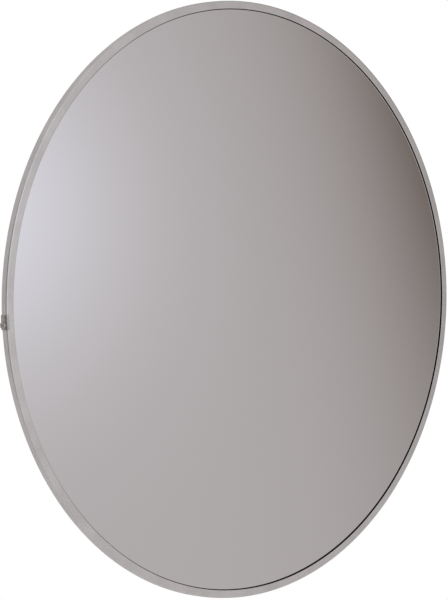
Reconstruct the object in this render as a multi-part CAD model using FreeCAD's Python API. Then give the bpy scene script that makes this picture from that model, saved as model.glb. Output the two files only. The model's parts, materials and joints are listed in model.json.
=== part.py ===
"""Convex traffic mirror on a telescopic, two-axis wall or post bracket.

The mirror is a domed acrylic lens, held with a sheet-steel back pan in a split U-channel rim.
A steel flange on the back of the pan carries a clevis, a cast knuckle joins the clevis to the
arm's fork, and the arm slides in a sleeve that is welded to the wall plate.

Frame: +Z is up, the mirror faces -Y, and the origin is the centre of the wall plate's rear face.
Lengths are millimetres.  "out" is the distance in front of the wall, so y = -out.
"""

import FreeCAD
import Part
import math
import os

V = FreeCAD.Vector
AXIS_X, AXIS_Y, AXIS_Z = V(1, 0, 0), V(0, 1, 0), V(0, 0, 1)
ORIGIN = V(0, 0, 0)
FORWARD = V(0, -1, 0)
PAST = 1.0                  # how far a cutting tool runs past the face that it cuts
SKIN = 0.02                 # hairline between pieces of one body that are pressed together

# ---------------------------------------------------------------- mirror
RIM_RADIUS = 381.0          # a 762 mm (30 inch) mirror
RIM_FLANGE = 10.0           # width of the rim's front and rear flanges
RIM_DEPTH = 10.5            # outside depth of the channel at its wall
RIM_SHEET = 0.9
RIM_BEND = 1.1              # inside bend radius of the channel
RIM_SLOPE = 6.5             # degrees that the front flange leans forward towards the lens
RIM_GAP = 0.4               # the split between the channel's two ends
LENS_SHEET = 3.2
LENS_EDGE_SLOPE = 15.4      # degrees, where the lens comes out from under the flange
LENS_FOOT = 22.0            # front radius that turns the dome into the clamped edge
EDGE_RADIUS = 378.4         # outer radius of the lens and of the pan's lip
PAN_SHEET = 1.0
PAN_BEND = 2.5
PAN_DISH = 14.0             # how far the back pan stands behind its clamped edge
PAN_FLAT = 336.0            # radius where the pan's back turns into its cone
PAN_BEADS = (150.0, 262.0)  # inner radii of the two pressed rings
BEAD_WIDTH, BEAD_FLANK, BEAD_HEIGHT = 22.0, 6.0, 4.0
WEEP_RADIUS, WEEP_HOLE = 318.0, 3.0
WEEP_ANGLES = (250, 270, 290)
SEAL_INNER = 366.0
GASKET_GAP = 1.05           # between the lens and the front flange, at the flange's inner edge

# ---------------------------------------------------------------- mirror flange
PAN_REAR = 250.0            # from the wall to the back of the pan
PAD_SHEET = 2.0
FLANGE_SHEET, FLANGE_SIDE, FLANGE_CORNER = 5.0, 110.0, 10.0
SPREADER_SHEET, SPREADER_SIDE = 3.0, 120.0
FLANGE_BOLTS = 80.0         # spacing of the four carriage bolts, both ways
CARRIAGE_BOLT = 4.0         # M8
CARRIAGE_NECK = 8.0
CARRIAGE_HEAD, CARRIAGE_HEAD_HEIGHT = 10.0, 4.4
CARRIAGE_END = 12.0         # length of the bolts behind the flange

# ---------------------------------------------------------------- wall bracket
PLATE_X, PLATE_Z, PLATE_SHEET, PLATE_CORNER = 120.0, 140.0, 5.0, 12.0
PLATE_HOLES_X, PLATE_HOLES_Z, PLATE_HOLE = 80.0, 110.0, 4.5
SLEEVE_OUTER, SLEEVE_INNER, SLEEVE_END = 19.0, 16.5, 118.0
COLLAR_WALL, COLLAR_SKIRT, COLLAR_CAP = 2.6, 10.0, 6.0
COLLAR_FIT = 0.15           # radial clearance of the tube in the collar
TUBE_OUTER, TUBE_INNER, TUBE_START = 16.0, 13.5, 15.0
ARM_TRAVEL = 70.0
GUSSET_HEIGHT, GUSSET_REACH, GUSSET_SHEET = 56.0, 40.0, 5.0

# ---------------------------------------------------------------- pivots
EAR_SHEET, EAR_RADIUS, EAR_BEND = 6.0, 20.0, 3.0
EAR_GAP = 26.0
EAR_REACH = 27.0            # from a pivot to the inside of its web
LUG_RADIUS, LUG = 18.0, 23.4
PIVOT_SPACING = 46.0        # from the pan axis to the tilt axis
PIVOT_BOLT = 6.0            # M12
BOLT_FIT = 0.25             # radial clearance of the pivot bolts in their ears
BUSH, BUSH_FIT = 8.0, 0.05
WASHER_RADIUS, WASHER_SHEET = 12.0, 2.0
DISC_RADIUS, DISC_SHEET = 17.0, 1.0
HEX_M12, HEAD_M12, NUT_M12, NUT_CROWN = 18.0, 7.5, 8.5, 3.5
THREAD_END = 2.0            # thread that shows past a nut

# ---------------------------------------------------------------- arm clamp and stop
CLAMP_OUT = 96.0
CLAMP_BOLT = 4.0            # M8
CLAMP_DOG = 2.5             # the screw's reduced point, which the pad snaps on
PAD_START, PAD_END, PAD_SOCKET = 16.2, 20.2, 2.0
BOSS_RADIUS, BOSS_END = 9.0, 30.0
HUB_START, HUB_END, HUB_RADIUS = 52.0, 66.0, 7.5
HUB_MIDDLE = (HUB_START + HUB_END) / 2
BAR_RADIUS, BAR_LENGTH, CAP_RADIUS = 3.0, 64.0, 5.5
STOP_OUT = 24.0
STOP_BOLT = 3.0             # M6
STOP_HEAD, STOP_HEAD_HEIGHT = 5.25, 3.3
STOP_START, STOP_NUT, STOP_NUT_END = 6.0, 7.0, 11.8
SLOT_FIT = 0.35             # clearance of the stop screw in its slot

# ---------------------------------------------------------------- rim joint
SADDLE_ANGLE = 183.3        # degrees from +X towards +Z: just below the mirror's -X side
SADDLE_LENGTH, SADDLE_SHEET, SADDLE_WRAP = 18.0, 1.2, 2.6
SPLIT_AT, SCREW_AT, RIVET_AT = 1.8, -3.4, 5.4   # heights above the saddle's middle, along the rim
RIM_SCREW, RIM_SCREW_HEAD, RIM_SCREW_HEIGHT = 2.45, 4.5, 2.6
RIM_RIVET, RIM_RIVET_HEAD, RIM_RIVET_HEIGHT = 1.55, 3.2, 1.1
RIM_HOLE = 0.12             # radial clearance of the screw and the rivet
STRIP_SHEET, STRIP_WIDTH, STRIP_LENGTH = 1.2, 6.0, 24.0

# ---------------------------------------------------------------- stations, measured out from the wall
FLANGE_OUT = PAN_REAR - PAD_SHEET - FLANGE_SHEET
TILT_OUT = FLANGE_OUT - EAR_SHEET - EAR_REACH
PAN_OUT = TILT_OUT - PIVOT_SPACING
TUBE_END = PAN_OUT - EAR_REACH - EAR_SHEET
SPREADER_OUT = PAN_REAR + PAN_SHEET
PAN_LIP = PAN_REAR + PAN_DISH
RIM_REAR = PAN_LIP - RIM_SHEET
RIM_EDGE = RIM_REAR + RIM_DEPTH
RIM_MIDDLE = (RIM_REAR + RIM_EDGE) / 2
RIM_INNER = RIM_RADIUS - RIM_FLANGE
CHANNEL_WALL = RIM_RADIUS - RIM_SHEET
LENS_SLOPE = math.radians(LENS_EDGE_SLOPE)
FOOT_RISE = LENS_FOOT * (1 - math.cos(LENS_SLOPE))
RIM_FRONT = RIM_EDGE + RIM_FLANGE * math.tan(math.radians(RIM_SLOPE))
DOME_START = RIM_FRONT - RIM_SHEET - GASKET_GAP
LENS_LIP = DOME_START - FOOT_RISE
LENS_REAR = LENS_LIP - LENS_SHEET
FOOT_RADIUS = RIM_INNER + LENS_FOOT * math.sin(LENS_SLOPE)
DOME_RADIUS = RIM_INNER / math.sin(LENS_SLOPE)
DOME_CENTRE = DOME_START - DOME_RADIUS * math.cos(LENS_SLOPE)


# ================================================================ drawing helpers
def at(x, out, z=0.0):
    """A point given as x, distance out from the wall, and z."""
    return V(x, -out, z)


def rounded_outline(corners, radii):
    """A closed wire through 2-D corners in the XY plane, each corner rounded by its own radius."""
    count = len(corners)
    points = [V(x, y, 0) for x, y in corners]
    ends = []
    for i, radius in enumerate(radii):
        corner = points[i]
        if radius <= 0:
            ends.append((corner, None, corner))
            continue
        before = (points[i - 1] - corner).normalize()
        after = (points[(i + 1) % count] - corner).normalize()
        half = before.getAngle(after) / 2
        reach = radius / math.tan(half)
        middle = (before + after).normalize() * (radius / math.sin(half) - radius)
        ends.append((corner + before * reach, corner + middle, corner + after * reach))
    edges = []
    for i in range(count):
        start, middle, end = ends[i]
        if middle is not None:
            edges.append(Part.Arc(start, middle, end).toShape())
        following = ends[(i + 1) % count][0]
        edges.append(Part.LineSegment(end, following).toShape())
    return Part.Wire(edges)


def sheet_outline(path, sheet, bend):
    """The section of a bent sheet: a path and its offset to the left, with one inside bend radius."""
    steps = [(V(*b, 0) - V(*a, 0)).normalize() for a, b in zip(path, path[1:])]
    normals = [V(-step.y, step.x, 0) for step in steps]
    other, radii, other_radii = [], [], []
    for i, (x, y) in enumerate(path):
        before, after = normals[max(i - 1, 0)], normals[min(i, len(normals) - 1)]
        mitre = (before + after).normalize()
        shifted = V(x, y, 0) + mitre * (sheet / mitre.dot(before))
        other.append((shifted.x, shifted.y))
        turn = before.cross(after).z
        is_bend = abs(turn) > 1e-9
        radii.append((bend + sheet if turn > 0 else bend) if is_bend else 0)
        other_radii.append((bend if turn > 0 else bend + sheet) if is_bend else 0)
    return rounded_outline(list(path) + other[::-1], radii + other_radii[::-1])


def revolved(wire, degrees=360.0):
    """A solid turned about the mirror's axis from +X towards +Z, from a section drawn as (radius, out)."""
    face = Part.Face(wire)
    face.rotate(ORIGIN, AXIS_X, 180)
    return face.revolve(ORIGIN, AXIS_Y, -degrees)


def turned(shape, degrees):
    """A shape carried round the mirror's axis by an angle from +X towards +Z."""
    shape.rotate(ORIGIN, AXIS_Y, -degrees)
    return shape


def rim_degrees(length):
    """The angle that a length along the rim covers."""
    return math.degrees(length / RIM_RADIUS)


def slab(x, out, z):
    """A box between pairs of x, out and z."""
    return Part.makeBox(x[1] - x[0], out[1] - out[0], z[1] - z[0], at(x[0], out[1], z[0]))


def rod(radius, start, end, axis, centre=ORIGIN):
    """A cylinder along an axis, from start to end measured from a centre point."""
    return Part.makeCylinder(radius, end - start, centre + axis * start, axis)


def tube(outer, inner, start, end, axis, centre=ORIGIN):
    """A hollow cylinder, a bush or a washer."""
    return rod(outer, start, end, axis, centre).cut(rod(inner, start - PAST, end + PAST, axis, centre))


def plate(size_x, size_z, start, sheet, corner):
    """A plate parallel to the wall, with rounded corners."""
    x, z = size_x / 2, size_z / 2
    face = Part.Face(rounded_outline([(-x, -z), (x, -z), (x, z), (-x, z)], [corner] * 4))
    face.rotate(ORIGIN, AXIS_X, 90)
    face.translate(at(0, start))
    return face.extrude(FORWARD * sheet)


def hexagon(across_flats, start, end, axis, centre=ORIGIN):
    """A hexagonal prism whose far corners are chamfered by a cone, like a bolt's head or a nut."""
    radius = across_flats / math.sqrt(3)
    corners = [V(radius * math.cos(a), radius * math.sin(a), 0) for a in
               (math.radians(60 * i) for i in range(6))]
    prism = Part.Face(Part.makePolygon(corners + corners[:1])).extrude(V(0, 0, end - start))
    bevel = 0.12 * radius
    cone = Part.makeCone(radius + 2 * bevel, radius - bevel, end - start + bevel, V(0, 0, -bevel))
    solid = prism.common(cone)
    solid.Placement = FreeCAD.Placement(centre + axis * start, FreeCAD.Rotation(AXIS_Z, axis))
    return solid


def domed_head(radius, start, end, ease, axis, centre=ORIGIN):
    """A round head whose far edge is rounded over."""
    far = centre + axis * end
    head = rod(radius, start, end, axis, centre)
    return eased(head, ease, lambda edge: edge.BoundBox.Center.distanceToPoint(far) < 0.01
                 and edge.Length > 2 * radius)


def eased(solid, radius, wanted):
    """The solid with a fillet on each edge that the test picks."""
    return solid.makeFillet(radius, [edge for edge in solid.Edges if wanted(edge)])


def fused(first, *others):
    """One solid from several that touch or overlap."""
    return first.fuse(list(others)).removeSplitter()


def corner_points(spacing_x, spacing_z):
    """The four (x, z) places of a rectangular bolt pattern."""
    return [(sx * spacing_x / 2, sz * spacing_z / 2) for sx in (-1, 1) for sz in (-1, 1)]


def drilled(solid, places, radius, start, sheet):
    """The solid with round holes through a sheet that is parallel to the wall."""
    for x, z in places:
        solid = solid.cut(rod(radius, start - PAST, start + sheet + PAST, FORWARD, at(x, 0, z)))
    return solid


# ================================================================ wall bracket
def wall_plate():
    solid = plate(PLATE_X, PLATE_Z, 0, PLATE_SHEET, PLATE_CORNER)
    return drilled(solid, corner_points(PLATE_HOLES_X, PLATE_HOLES_Z), PLATE_HOLE, 0, PLATE_SHEET)


def sleeve_tube():
    """The fixed outer tube, slotted on the left for the stop screw and bored on the right for the clamp."""
    solid = tube(SLEEVE_OUTER, SLEEVE_INNER, PLATE_SHEET, SLEEVE_END, FORWARD)
    near, far = SLEEVE_INNER - 2 * PAST, SLEEVE_OUTER + PAST
    half = STOP_BOLT + SLOT_FIT
    ends = STOP_OUT, STOP_OUT + ARM_TRAVEL
    slot = fused(slab((-far, -near), ends, (-half, half)),
                 *[rod(half, near, far, -AXIS_X, at(0, end)) for end in ends])
    return solid.cut(slot).cut(rod(CLAMP_BOLT + 2 * BOLT_FIT, near, far, AXIS_X, at(0, CLAMP_OUT)))


def gusset_plates():
    """Two triangular plates between the wall plate and the sleeve, above it and below it."""
    nose = 8.0
    low = SLEEVE_OUTER - PAST
    outline = rounded_outline([(low, PLATE_SHEET), (GUSSET_HEIGHT, PLATE_SHEET),
                               (GUSSET_HEIGHT, PLATE_SHEET + nose), (low + nose / 2, GUSSET_REACH),
                               (low, GUSSET_REACH)], [0, 0, 3, 2, 0])
    plates = []
    for angle in (90, 270):
        face = Part.Face(outline)
        face.rotate(ORIGIN, AXIS_X, 180)
        face.translate(V(0, 0, -GUSSET_SHEET / 2))
        blank = turned(face.extrude(AXIS_Z * GUSSET_SHEET), angle)
        plates.append(blank.cut(rod(SLEEVE_OUTER, 0, GUSSET_REACH + PAST, FORWARD)))
    return Part.makeCompound(plates)


def clamp_boss():
    """The round threaded boss welded to the sleeve's right side."""
    centre = at(0, CLAMP_OUT)
    solid = domed_head(BOSS_RADIUS, SLEEVE_INNER, BOSS_END, 1.2, AXIS_X, centre)
    solid = solid.cut(rod(SLEEVE_OUTER, 0, SLEEVE_END, FORWARD))
    return solid.cut(rod(CLAMP_BOLT + BUSH_FIT, 0, BOSS_END + PAST, AXIS_X, centre))


def sleeve_collar():
    """The plastic guide that caps the sleeve's mouth and carries the sliding tube."""
    start, end = SLEEVE_END - COLLAR_SKIRT, SLEEVE_END + COLLAR_CAP
    solid = domed_head(SLEEVE_OUTER + COLLAR_WALL, start, end, 1.6, FORWARD)
    solid = solid.cut(rod(SLEEVE_OUTER + SKIN, start - PAST, SLEEVE_END, FORWARD))
    return solid.cut(rod(TUBE_OUTER + COLLAR_FIT, start, end + PAST, FORWARD))


# ================================================================ arm clamp
def clamp_pad():
    """The brass pad that the screw presses on the tube, snapped on the screw's point."""
    centre = at(0, CLAMP_OUT)
    solid = rod(CLAMP_BOLT, PAD_START, PAD_END, AXIS_X, centre)
    return solid.cut(rod(CLAMP_DOG + BUSH_FIT, PAD_END - PAD_SOCKET, PAD_END + PAST, AXIS_X, centre))


def clamp_screw():
    """An M8 screw with a reduced point, and a hub for its cross bar."""
    centre = at(0, CLAMP_OUT)
    point = rod(CLAMP_DOG, PAD_END - PAD_SOCKET + BUSH_FIT, PAD_END + PAST, AXIS_X, centre)
    shank = rod(CLAMP_BOLT, PAD_END + BUSH_FIT, HUB_START + PAST, AXIS_X, centre)
    hub = eased(rod(HUB_RADIUS, HUB_START, HUB_END, AXIS_X, centre), 1.5,
                lambda edge: edge.Length > 4 * HUB_RADIUS)
    return fused(point, shank, hub).cut(rod(BAR_RADIUS, -HUB_END, HUB_END, AXIS_Z, at(HUB_MIDDLE, CLAMP_OUT)))


def clamp_bar():
    return rod(BAR_RADIUS, -BAR_LENGTH / 2, BAR_LENGTH / 2, AXIS_Z, at(HUB_MIDDLE, CLAMP_OUT))


def clamp_bar_caps():
    """Moulded balls pushed on the ends of the cross bar."""
    bar = clamp_bar()
    balls = [Part.makeSphere(CAP_RADIUS, at(HUB_MIDDLE, CLAMP_OUT, side * BAR_LENGTH / 2)).cut(bar)
             for side in (1, -1)]
    return Part.makeCompound(balls)


# ================================================================ sliding arm
def inner_tube():
    solid = tube(TUBE_OUTER, TUBE_INNER, TUBE_START, TUBE_END, FORWARD)
    return solid.cut(rod(STOP_BOLT + BUSH_FIT, STOP_START, SLEEVE_OUTER, -AXIS_X, at(0, STOP_OUT)))


def stop_screw():
    """A button-head screw through the sleeve's slot, which limits the travel and stops the arm turning."""
    centre = at(0, STOP_OUT)
    start = SLEEVE_OUTER + SLOT_FIT
    end = start + STOP_HEAD_HEIGHT
    head = domed_head(STOP_HEAD, start, end, 2.0, -AXIS_X, centre)
    shank = rod(STOP_BOLT, STOP_START, start + PAST, -AXIS_X, centre)
    return fused(shank, head).cut(hexagon(4.0, end - 2.0, end + PAST, -AXIS_X, centre))


def stop_nut():
    centre = at(0, STOP_OUT)
    nut = hexagon(10.0, STOP_NUT, STOP_NUT_END, -AXIS_X, centre)
    return nut.cut(rod(STOP_BOLT + SKIN, STOP_START, TUBE_INNER, -AXIS_X, centre))


def bent_bracket():
    """Two ears round a pivot along Z at the origin, joined by a web on the +Y side."""
    inner = EAR_GAP / 2
    outer = inner + EAR_SHEET
    back = -EAR_REACH - EAR_SHEET
    solid = fused(slab((-EAR_RADIUS, EAR_RADIUS), (back, 0), (-outer, outer)),
                  rod(EAR_RADIUS, -outer, outer, AXIS_Z))
    solid = solid.cut(slab((-2 * EAR_RADIUS, 2 * EAR_RADIUS), (-EAR_REACH, 2 * EAR_RADIUS), (-inner, inner)))
    solid = solid.cut(rod(PIVOT_BOLT + BOLT_FIT, -outer - PAST, outer + PAST, AXIS_Z))
    for radius, out, level in ((EAR_BEND, -EAR_REACH, inner), (EAR_BEND + EAR_SHEET, back, outer)):
        solid = eased(solid, radius, lambda edge: abs(edge.BoundBox.Center.y + out) < 0.01
                      and abs(abs(edge.BoundBox.Center.z) - level) < 0.01 and edge.Length > EAR_RADIUS)
    return solid


def pan_fork():
    """The fork welded to the end of the sliding tube, with a vertical pivot."""
    solid = bent_bracket()
    solid.translate(at(0, PAN_OUT))
    return solid


def tilt_clevis():
    """The clevis welded to the mirror's flange, with a horizontal pivot."""
    solid = bent_bracket()
    solid.rotate(ORIGIN, AXIS_Z, 180)
    solid.rotate(ORIGIN, AXIS_Y, 90)
    solid.translate(at(0, TILT_OUT))
    return solid


# ================================================================ pivot hardware, the same for both axes
WASHER_SEAT = EAR_GAP / 2 + EAR_SHEET
BOLT_SEAT = WASHER_SEAT + WASHER_SHEET


def pivot_bolt(axis, out):
    """An M12 hexagon bolt through both ears, chamfered at its end."""
    centre = at(0, out)
    end = -BOLT_SEAT - NUT_M12 - NUT_CROWN - THREAD_END
    shank = rod(PIVOT_BOLT, end, BOLT_SEAT + PAST, axis, centre)
    tip = centre + axis * end
    shank = shank.makeChamfer(1.0, [e for e in shank.Edges if e.BoundBox.Center.distanceToPoint(tip) < 0.01])
    return fused(hexagon(HEX_M12, BOLT_SEAT, BOLT_SEAT + HEAD_M12, axis, centre), shank)


def pivot_nut(axis, out):
    """A self-locking nut, whose crown holds a plastic ring."""
    centre = at(0, out)
    body = hexagon(HEX_M12, BOLT_SEAT, BOLT_SEAT + NUT_M12, -axis, centre)
    end = BOLT_SEAT + NUT_M12 + NUT_CROWN
    crown = domed_head(HEX_M12 / 2 - PAST, BOLT_SEAT + PAST, end, 1.4, -axis, centre)
    return fused(body, crown).cut(rod(PIVOT_BOLT + SKIN, BOLT_SEAT - PAST, end + PAST, -axis, centre))


def both_sides(outer, inner, start, sheet, axis, out):
    """Two equal rings, one on each side of a pivot's middle."""
    return Part.makeCompound([tube(outer, inner, start, start + sheet, way, at(0, out))
                              for way in (axis, -axis)])


def pivot_washers(axis, out):
    return both_sides(WASHER_RADIUS, PIVOT_BOLT + BOLT_FIT, WASHER_SEAT, WASHER_SHEET, axis, out)


def friction_discs(axis, out):
    """Two nylon discs between the knuckle's lug and its ears."""
    return both_sides(DISC_RADIUS, PIVOT_BOLT + 2 * BOLT_FIT, LUG / 2, DISC_SHEET, axis, out)


def pivot_bush(axis, out):
    return tube(BUSH, PIVOT_BOLT + BUSH_FIT, -LUG / 2, LUG / 2, axis, at(0, out))


def knuckle_block():
    """The cast knuckle: an upright lug and a flat lug at right angles, joined by a square neck."""
    half = LUG / 2
    pan, tilt = at(0, PAN_OUT), at(0, TILT_OUT)
    solid = fused(slab((-half, half), (PAN_OUT, TILT_OUT), (-half, half)),
                  rod(LUG_RADIUS, -half, half, AXIS_Z, pan), rod(LUG_RADIUS, -half, half, AXIS_X, tilt))
    solid = eased(solid, 1.5, lambda edge: edge.Length > half)
    for axis, centre in ((AXIS_Z, pan), (AXIS_X, tilt)):
        solid = solid.cut(rod(BUSH + SKIN, -LUG, LUG, axis, centre))
    return solid


# ================================================================ mirror flange
def mirror_flange():
    solid = plate(FLANGE_SIDE, FLANGE_SIDE, FLANGE_OUT, FLANGE_SHEET, FLANGE_CORNER)
    places = corner_points(FLANGE_BOLTS, FLANGE_BOLTS)
    return drilled(solid, places, CARRIAGE_BOLT + BOLT_FIT, FLANGE_OUT, FLANGE_SHEET)


def flange_pad():
    """The rubber pad between the flange and the back pan."""
    side = FLANGE_SIDE + 2 * PAD_SHEET
    start = PAN_REAR - PAD_SHEET
    solid = plate(side, side, start, PAD_SHEET, FLANGE_CORNER + PAD_SHEET)
    places = corner_points(FLANGE_BOLTS, FLANGE_BOLTS)
    return drilled(solid, places, CARRIAGE_BOLT + BOLT_FIT, start, PAD_SHEET)


def square_necks(side, start, sheet):
    """Four square prisms at the carriage bolts' places."""
    half = side / 2
    return [slab((x - half, x + half), (start, start + sheet), (z - half, z + half))
            for x, z in corner_points(FLANGE_BOLTS, FLANGE_BOLTS)]


def spreader_plate():
    """The square doubler inside the pan, whose square holes hold the carriage bolts' necks."""
    solid = plate(SPREADER_SIDE, SPREADER_SIDE, SPREADER_OUT, SPREADER_SHEET, FLANGE_CORNER)
    holes = square_necks(CARRIAGE_NECK + 2 * BOLT_FIT, SPREADER_OUT - PAST, SPREADER_SHEET + 2 * PAST)
    return solid.cut(holes)


def flange_bolts():
    """Four M8 carriage bolts, headed inside the pan."""
    seat = SPREADER_OUT + SPREADER_SHEET
    necks = square_necks(CARRIAGE_NECK, SPREADER_OUT + SKIN, SPREADER_SHEET)
    bolts = []
    for (x, z), neck in zip(corner_points(FLANGE_BOLTS, FLANGE_BOLTS), necks):
        centre = at(x, 0, z)
        head = domed_head(CARRIAGE_HEAD, seat, seat + CARRIAGE_HEAD_HEIGHT, 3.9, FORWARD, centre)
        shank = rod(CARRIAGE_BOLT, FLANGE_OUT - CARRIAGE_END, seat, FORWARD, centre)
        bolts.append(fused(head, neck, shank))
    return Part.makeCompound(bolts)


def flange_nuts():
    """Four flange nuts on the carriage bolts."""
    height, skirt, across = 8.0, 2.2, 13.0
    nuts = []
    for x, z in corner_points(FLANGE_BOLTS, FLANGE_BOLTS):
        centre = at(x, FLANGE_OUT, z)
        cone = Part.makeCone(across / 2 + 2.7, across / 2 + 1.0, skirt, centre, AXIS_Y)
        nut = fused(hexagon(across, skirt / 2, height, AXIS_Y, centre), cone)
        nuts.append(nut.cut(rod(CARRIAGE_BOLT + SKIN, -PAST, height + PAST, AXIS_Y, centre)))
    return Part.makeCompound(nuts)


# ================================================================ mirror
def back_pan():
    """The dished steel back, with two pressed rings and weep holes along its lower edge."""
    path = [(0, PAN_REAR)]
    for start in PAN_BEADS:
        path += [(start, PAN_REAR), (start + BEAD_FLANK, PAN_REAR - BEAD_HEIGHT),
                 (start + BEAD_WIDTH - BEAD_FLANK, PAN_REAR - BEAD_HEIGHT), (start + BEAD_WIDTH, PAN_REAR)]
    path += [(PAN_FLAT, PAN_REAR), (PAN_FLAT + PAN_DISH, PAN_LIP), (EDGE_RADIUS, PAN_LIP)]
    solid = revolved(sheet_outline(path, PAN_SHEET, PAN_BEND))
    weeps = [(WEEP_RADIUS * math.cos(math.radians(a)), WEEP_RADIUS * math.sin(math.radians(a)))
             for a in WEEP_ANGLES]
    solid = drilled(solid, weeps, WEEP_HOLE, PAN_REAR, PAN_SHEET)
    places = corner_points(FLANGE_BOLTS, FLANGE_BOLTS)
    return drilled(solid, places, CARRIAGE_BOLT + BOLT_FIT, PAN_REAR, PAN_SHEET)


def lens_seal():
    """The foam ring that seals the lens to the pan."""
    start, end = PAN_LIP + PAN_SHEET + SKIN, LENS_REAR - SKIN
    return revolved(rounded_outline([(SEAL_INNER, start), (EDGE_RADIUS, start),
                                     (EDGE_RADIUS, end), (SEAL_INNER, end)], [0] * 4))


def slope_arc(radius, centre, slopes):
    """An arc of the lens's section between two slopes, about a centre at (radius, out)."""
    middle = sum(slopes) / 2
    points = [V(centre[0] + radius * math.sin(slope), centre[1] + radius * math.cos(slope), 0)
              for slope in (slopes[0], middle, slopes[1])]
    return Part.Arc(*points).toShape()


def mirror_lens():
    """The domed lens: a spherical cap that flares through a small radius into a flat clamped edge."""
    dome, foot = (0.0, DOME_CENTRE), (FOOT_RADIUS, LENS_LIP + LENS_FOOT)
    apex = DOME_CENTRE + DOME_RADIUS
    edge = [V(FOOT_RADIUS, LENS_LIP, 0), V(EDGE_RADIUS, LENS_LIP, 0),
            V(EDGE_RADIUS, LENS_REAR, 0), V(FOOT_RADIUS, LENS_REAR, 0)]
    edges = [Part.LineSegment(V(0, apex - LENS_SHEET, 0), V(0, apex, 0)).toShape(),
             slope_arc(DOME_RADIUS, dome, (0, LENS_SLOPE)),
             slope_arc(-LENS_FOOT, foot, (LENS_SLOPE, 0))]
    edges += [Part.LineSegment(a, b).toShape() for a, b in zip(edge, edge[1:])]
    edges += [slope_arc(-LENS_FOOT - LENS_SHEET, foot, (0, LENS_SLOPE)),
              slope_arc(DOME_RADIUS - LENS_SHEET, dome, (LENS_SLOPE, 0))]
    return revolved(Part.Wire(edges))


def flange_out(radius, grow=0.0):
    """How far out the rim's front flange stands at a radius, or a surface offset from it by grow."""
    slope = math.radians(RIM_SLOPE)
    return RIM_EDGE + (RIM_RADIUS - radius) * math.tan(slope) + grow / math.cos(slope)


def front_gasket():
    """The black strip under the front flange; its underside follows the lens's foot."""
    inner, outer = RIM_INNER + 0.3, EDGE_RADIUS + 0.4
    centre = V(FOOT_RADIUS, LENS_LIP + LENS_FOOT, 0)
    reach = LENS_FOOT - SKIN
    turn = math.asin((centre.x - inner) / reach)
    underside = [centre - V(reach * math.sin(turn * share), reach * math.cos(turn * share), 0)
                 for share in (1, 0.5, 0)]
    top = -RIM_SHEET - SKIN
    corners = [(point.x, point.y) for point in underside]
    corners += [(outer, underside[-1].y), (outer, flange_out(outer, top)), (inner, flange_out(inner, top))]
    return revolved(rounded_outline(corners, [0] * len(corners)))


# ================================================================ rim and its joint
def channel_path(lip, grow=0.0):
    """The outside of the channel's section from its rear lip to its front lip, grown outwards."""
    outer, rear = RIM_RADIUS + grow, RIM_REAR - grow
    return [(lip, rear), (outer, rear), (outer, flange_out(outer, grow)), (lip, flange_out(lip, grow))]


def rim_bore(radius, height):
    """A cutter through the rim's wall at a height above the saddle's middle, pointing at the axis."""
    cutter = rod(radius, CHANNEL_WALL - 3 * PAST, RIM_RADIUS + 3 * PAST, AXIS_X, at(0, RIM_MIDDLE))
    return turned(cutter, SADDLE_ANGLE - rim_degrees(height))


def rim_channel():
    """The U-channel rolled round the mirror, split under the saddle."""
    half = 180 - rim_degrees(RIM_GAP) / 2
    arcs = [revolved(sheet_outline(channel_path(RIM_INNER), RIM_SHEET, RIM_BEND), half) for _ in range(2)]
    solid = arcs[0].fuse(turned(arcs[1], half))
    solid = turned(solid, SADDLE_ANGLE - rim_degrees(SPLIT_AT - RIM_GAP / 2))
    solid = solid.cut(rim_bore(RIM_SCREW + RIM_HOLE, SCREW_AT))
    return solid.cut(rim_bore(RIM_RIVET + RIM_HOLE, RIVET_AT))


def rim_saddle():
    """The clip that bridges the split and wraps a little over both corners of the channel."""
    grow = SADDLE_SHEET + SKIN
    section = sheet_outline(channel_path(RIM_RADIUS - SADDLE_WRAP, grow), SADDLE_SHEET,
                            RIM_BEND + RIM_SHEET + SKIN)
    length = rim_degrees(SADDLE_LENGTH)
    solid = turned(revolved(section, length), SADDLE_ANGLE - length / 2)
    solid = solid.cut(rim_bore(RIM_SCREW + RIM_HOLE, SCREW_AT))
    return solid.cut(rim_bore(RIM_RIVET + RIM_HOLE, RIVET_AT))


def saddle_strip():
    """The threaded strip inside the channel, which the screw and the rivet hold."""
    outer = CHANNEL_WALL - SKIN
    low, high = RIM_MIDDLE - STRIP_WIDTH / 2, RIM_MIDDLE + STRIP_WIDTH / 2
    section = rounded_outline([(outer - STRIP_SHEET, low), (outer, low), (outer, high),
                               (outer - STRIP_SHEET, high)], [0] * 4)
    length = rim_degrees(STRIP_LENGTH)
    solid = turned(revolved(section, length), SADDLE_ANGLE - length / 2)
    return solid.cut(rim_bore(RIM_SCREW + SKIN, SCREW_AT)).cut(rim_bore(RIM_RIVET + SKIN, RIVET_AT))


RIM_SEAT = RIM_RADIUS + SADDLE_SHEET + 3 * SKIN
STRIP_INSIDE = CHANNEL_WALL - STRIP_SHEET


def rim_screw():
    """The pan-head screw that closes the rim, with a cross recess."""
    centre = at(0, RIM_MIDDLE)
    top = RIM_SEAT + RIM_SCREW_HEIGHT
    depth, wide, narrow = 1.5, 2.3, 0.55
    solid = fused(domed_head(RIM_SCREW_HEAD, RIM_SEAT, top, 1.4, AXIS_X, centre),
                  rod(RIM_SCREW, STRIP_INSIDE, RIM_SEAT + PAST, AXIS_X, centre))
    for y, z in ((wide, narrow), (narrow, wide)):
        solid = solid.cut(slab((top - depth, top + PAST), (RIM_MIDDLE - y, RIM_MIDDLE + y), (-z, z)))
    return turned(solid, SADDLE_ANGLE - rim_degrees(SCREW_AT))


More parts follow.
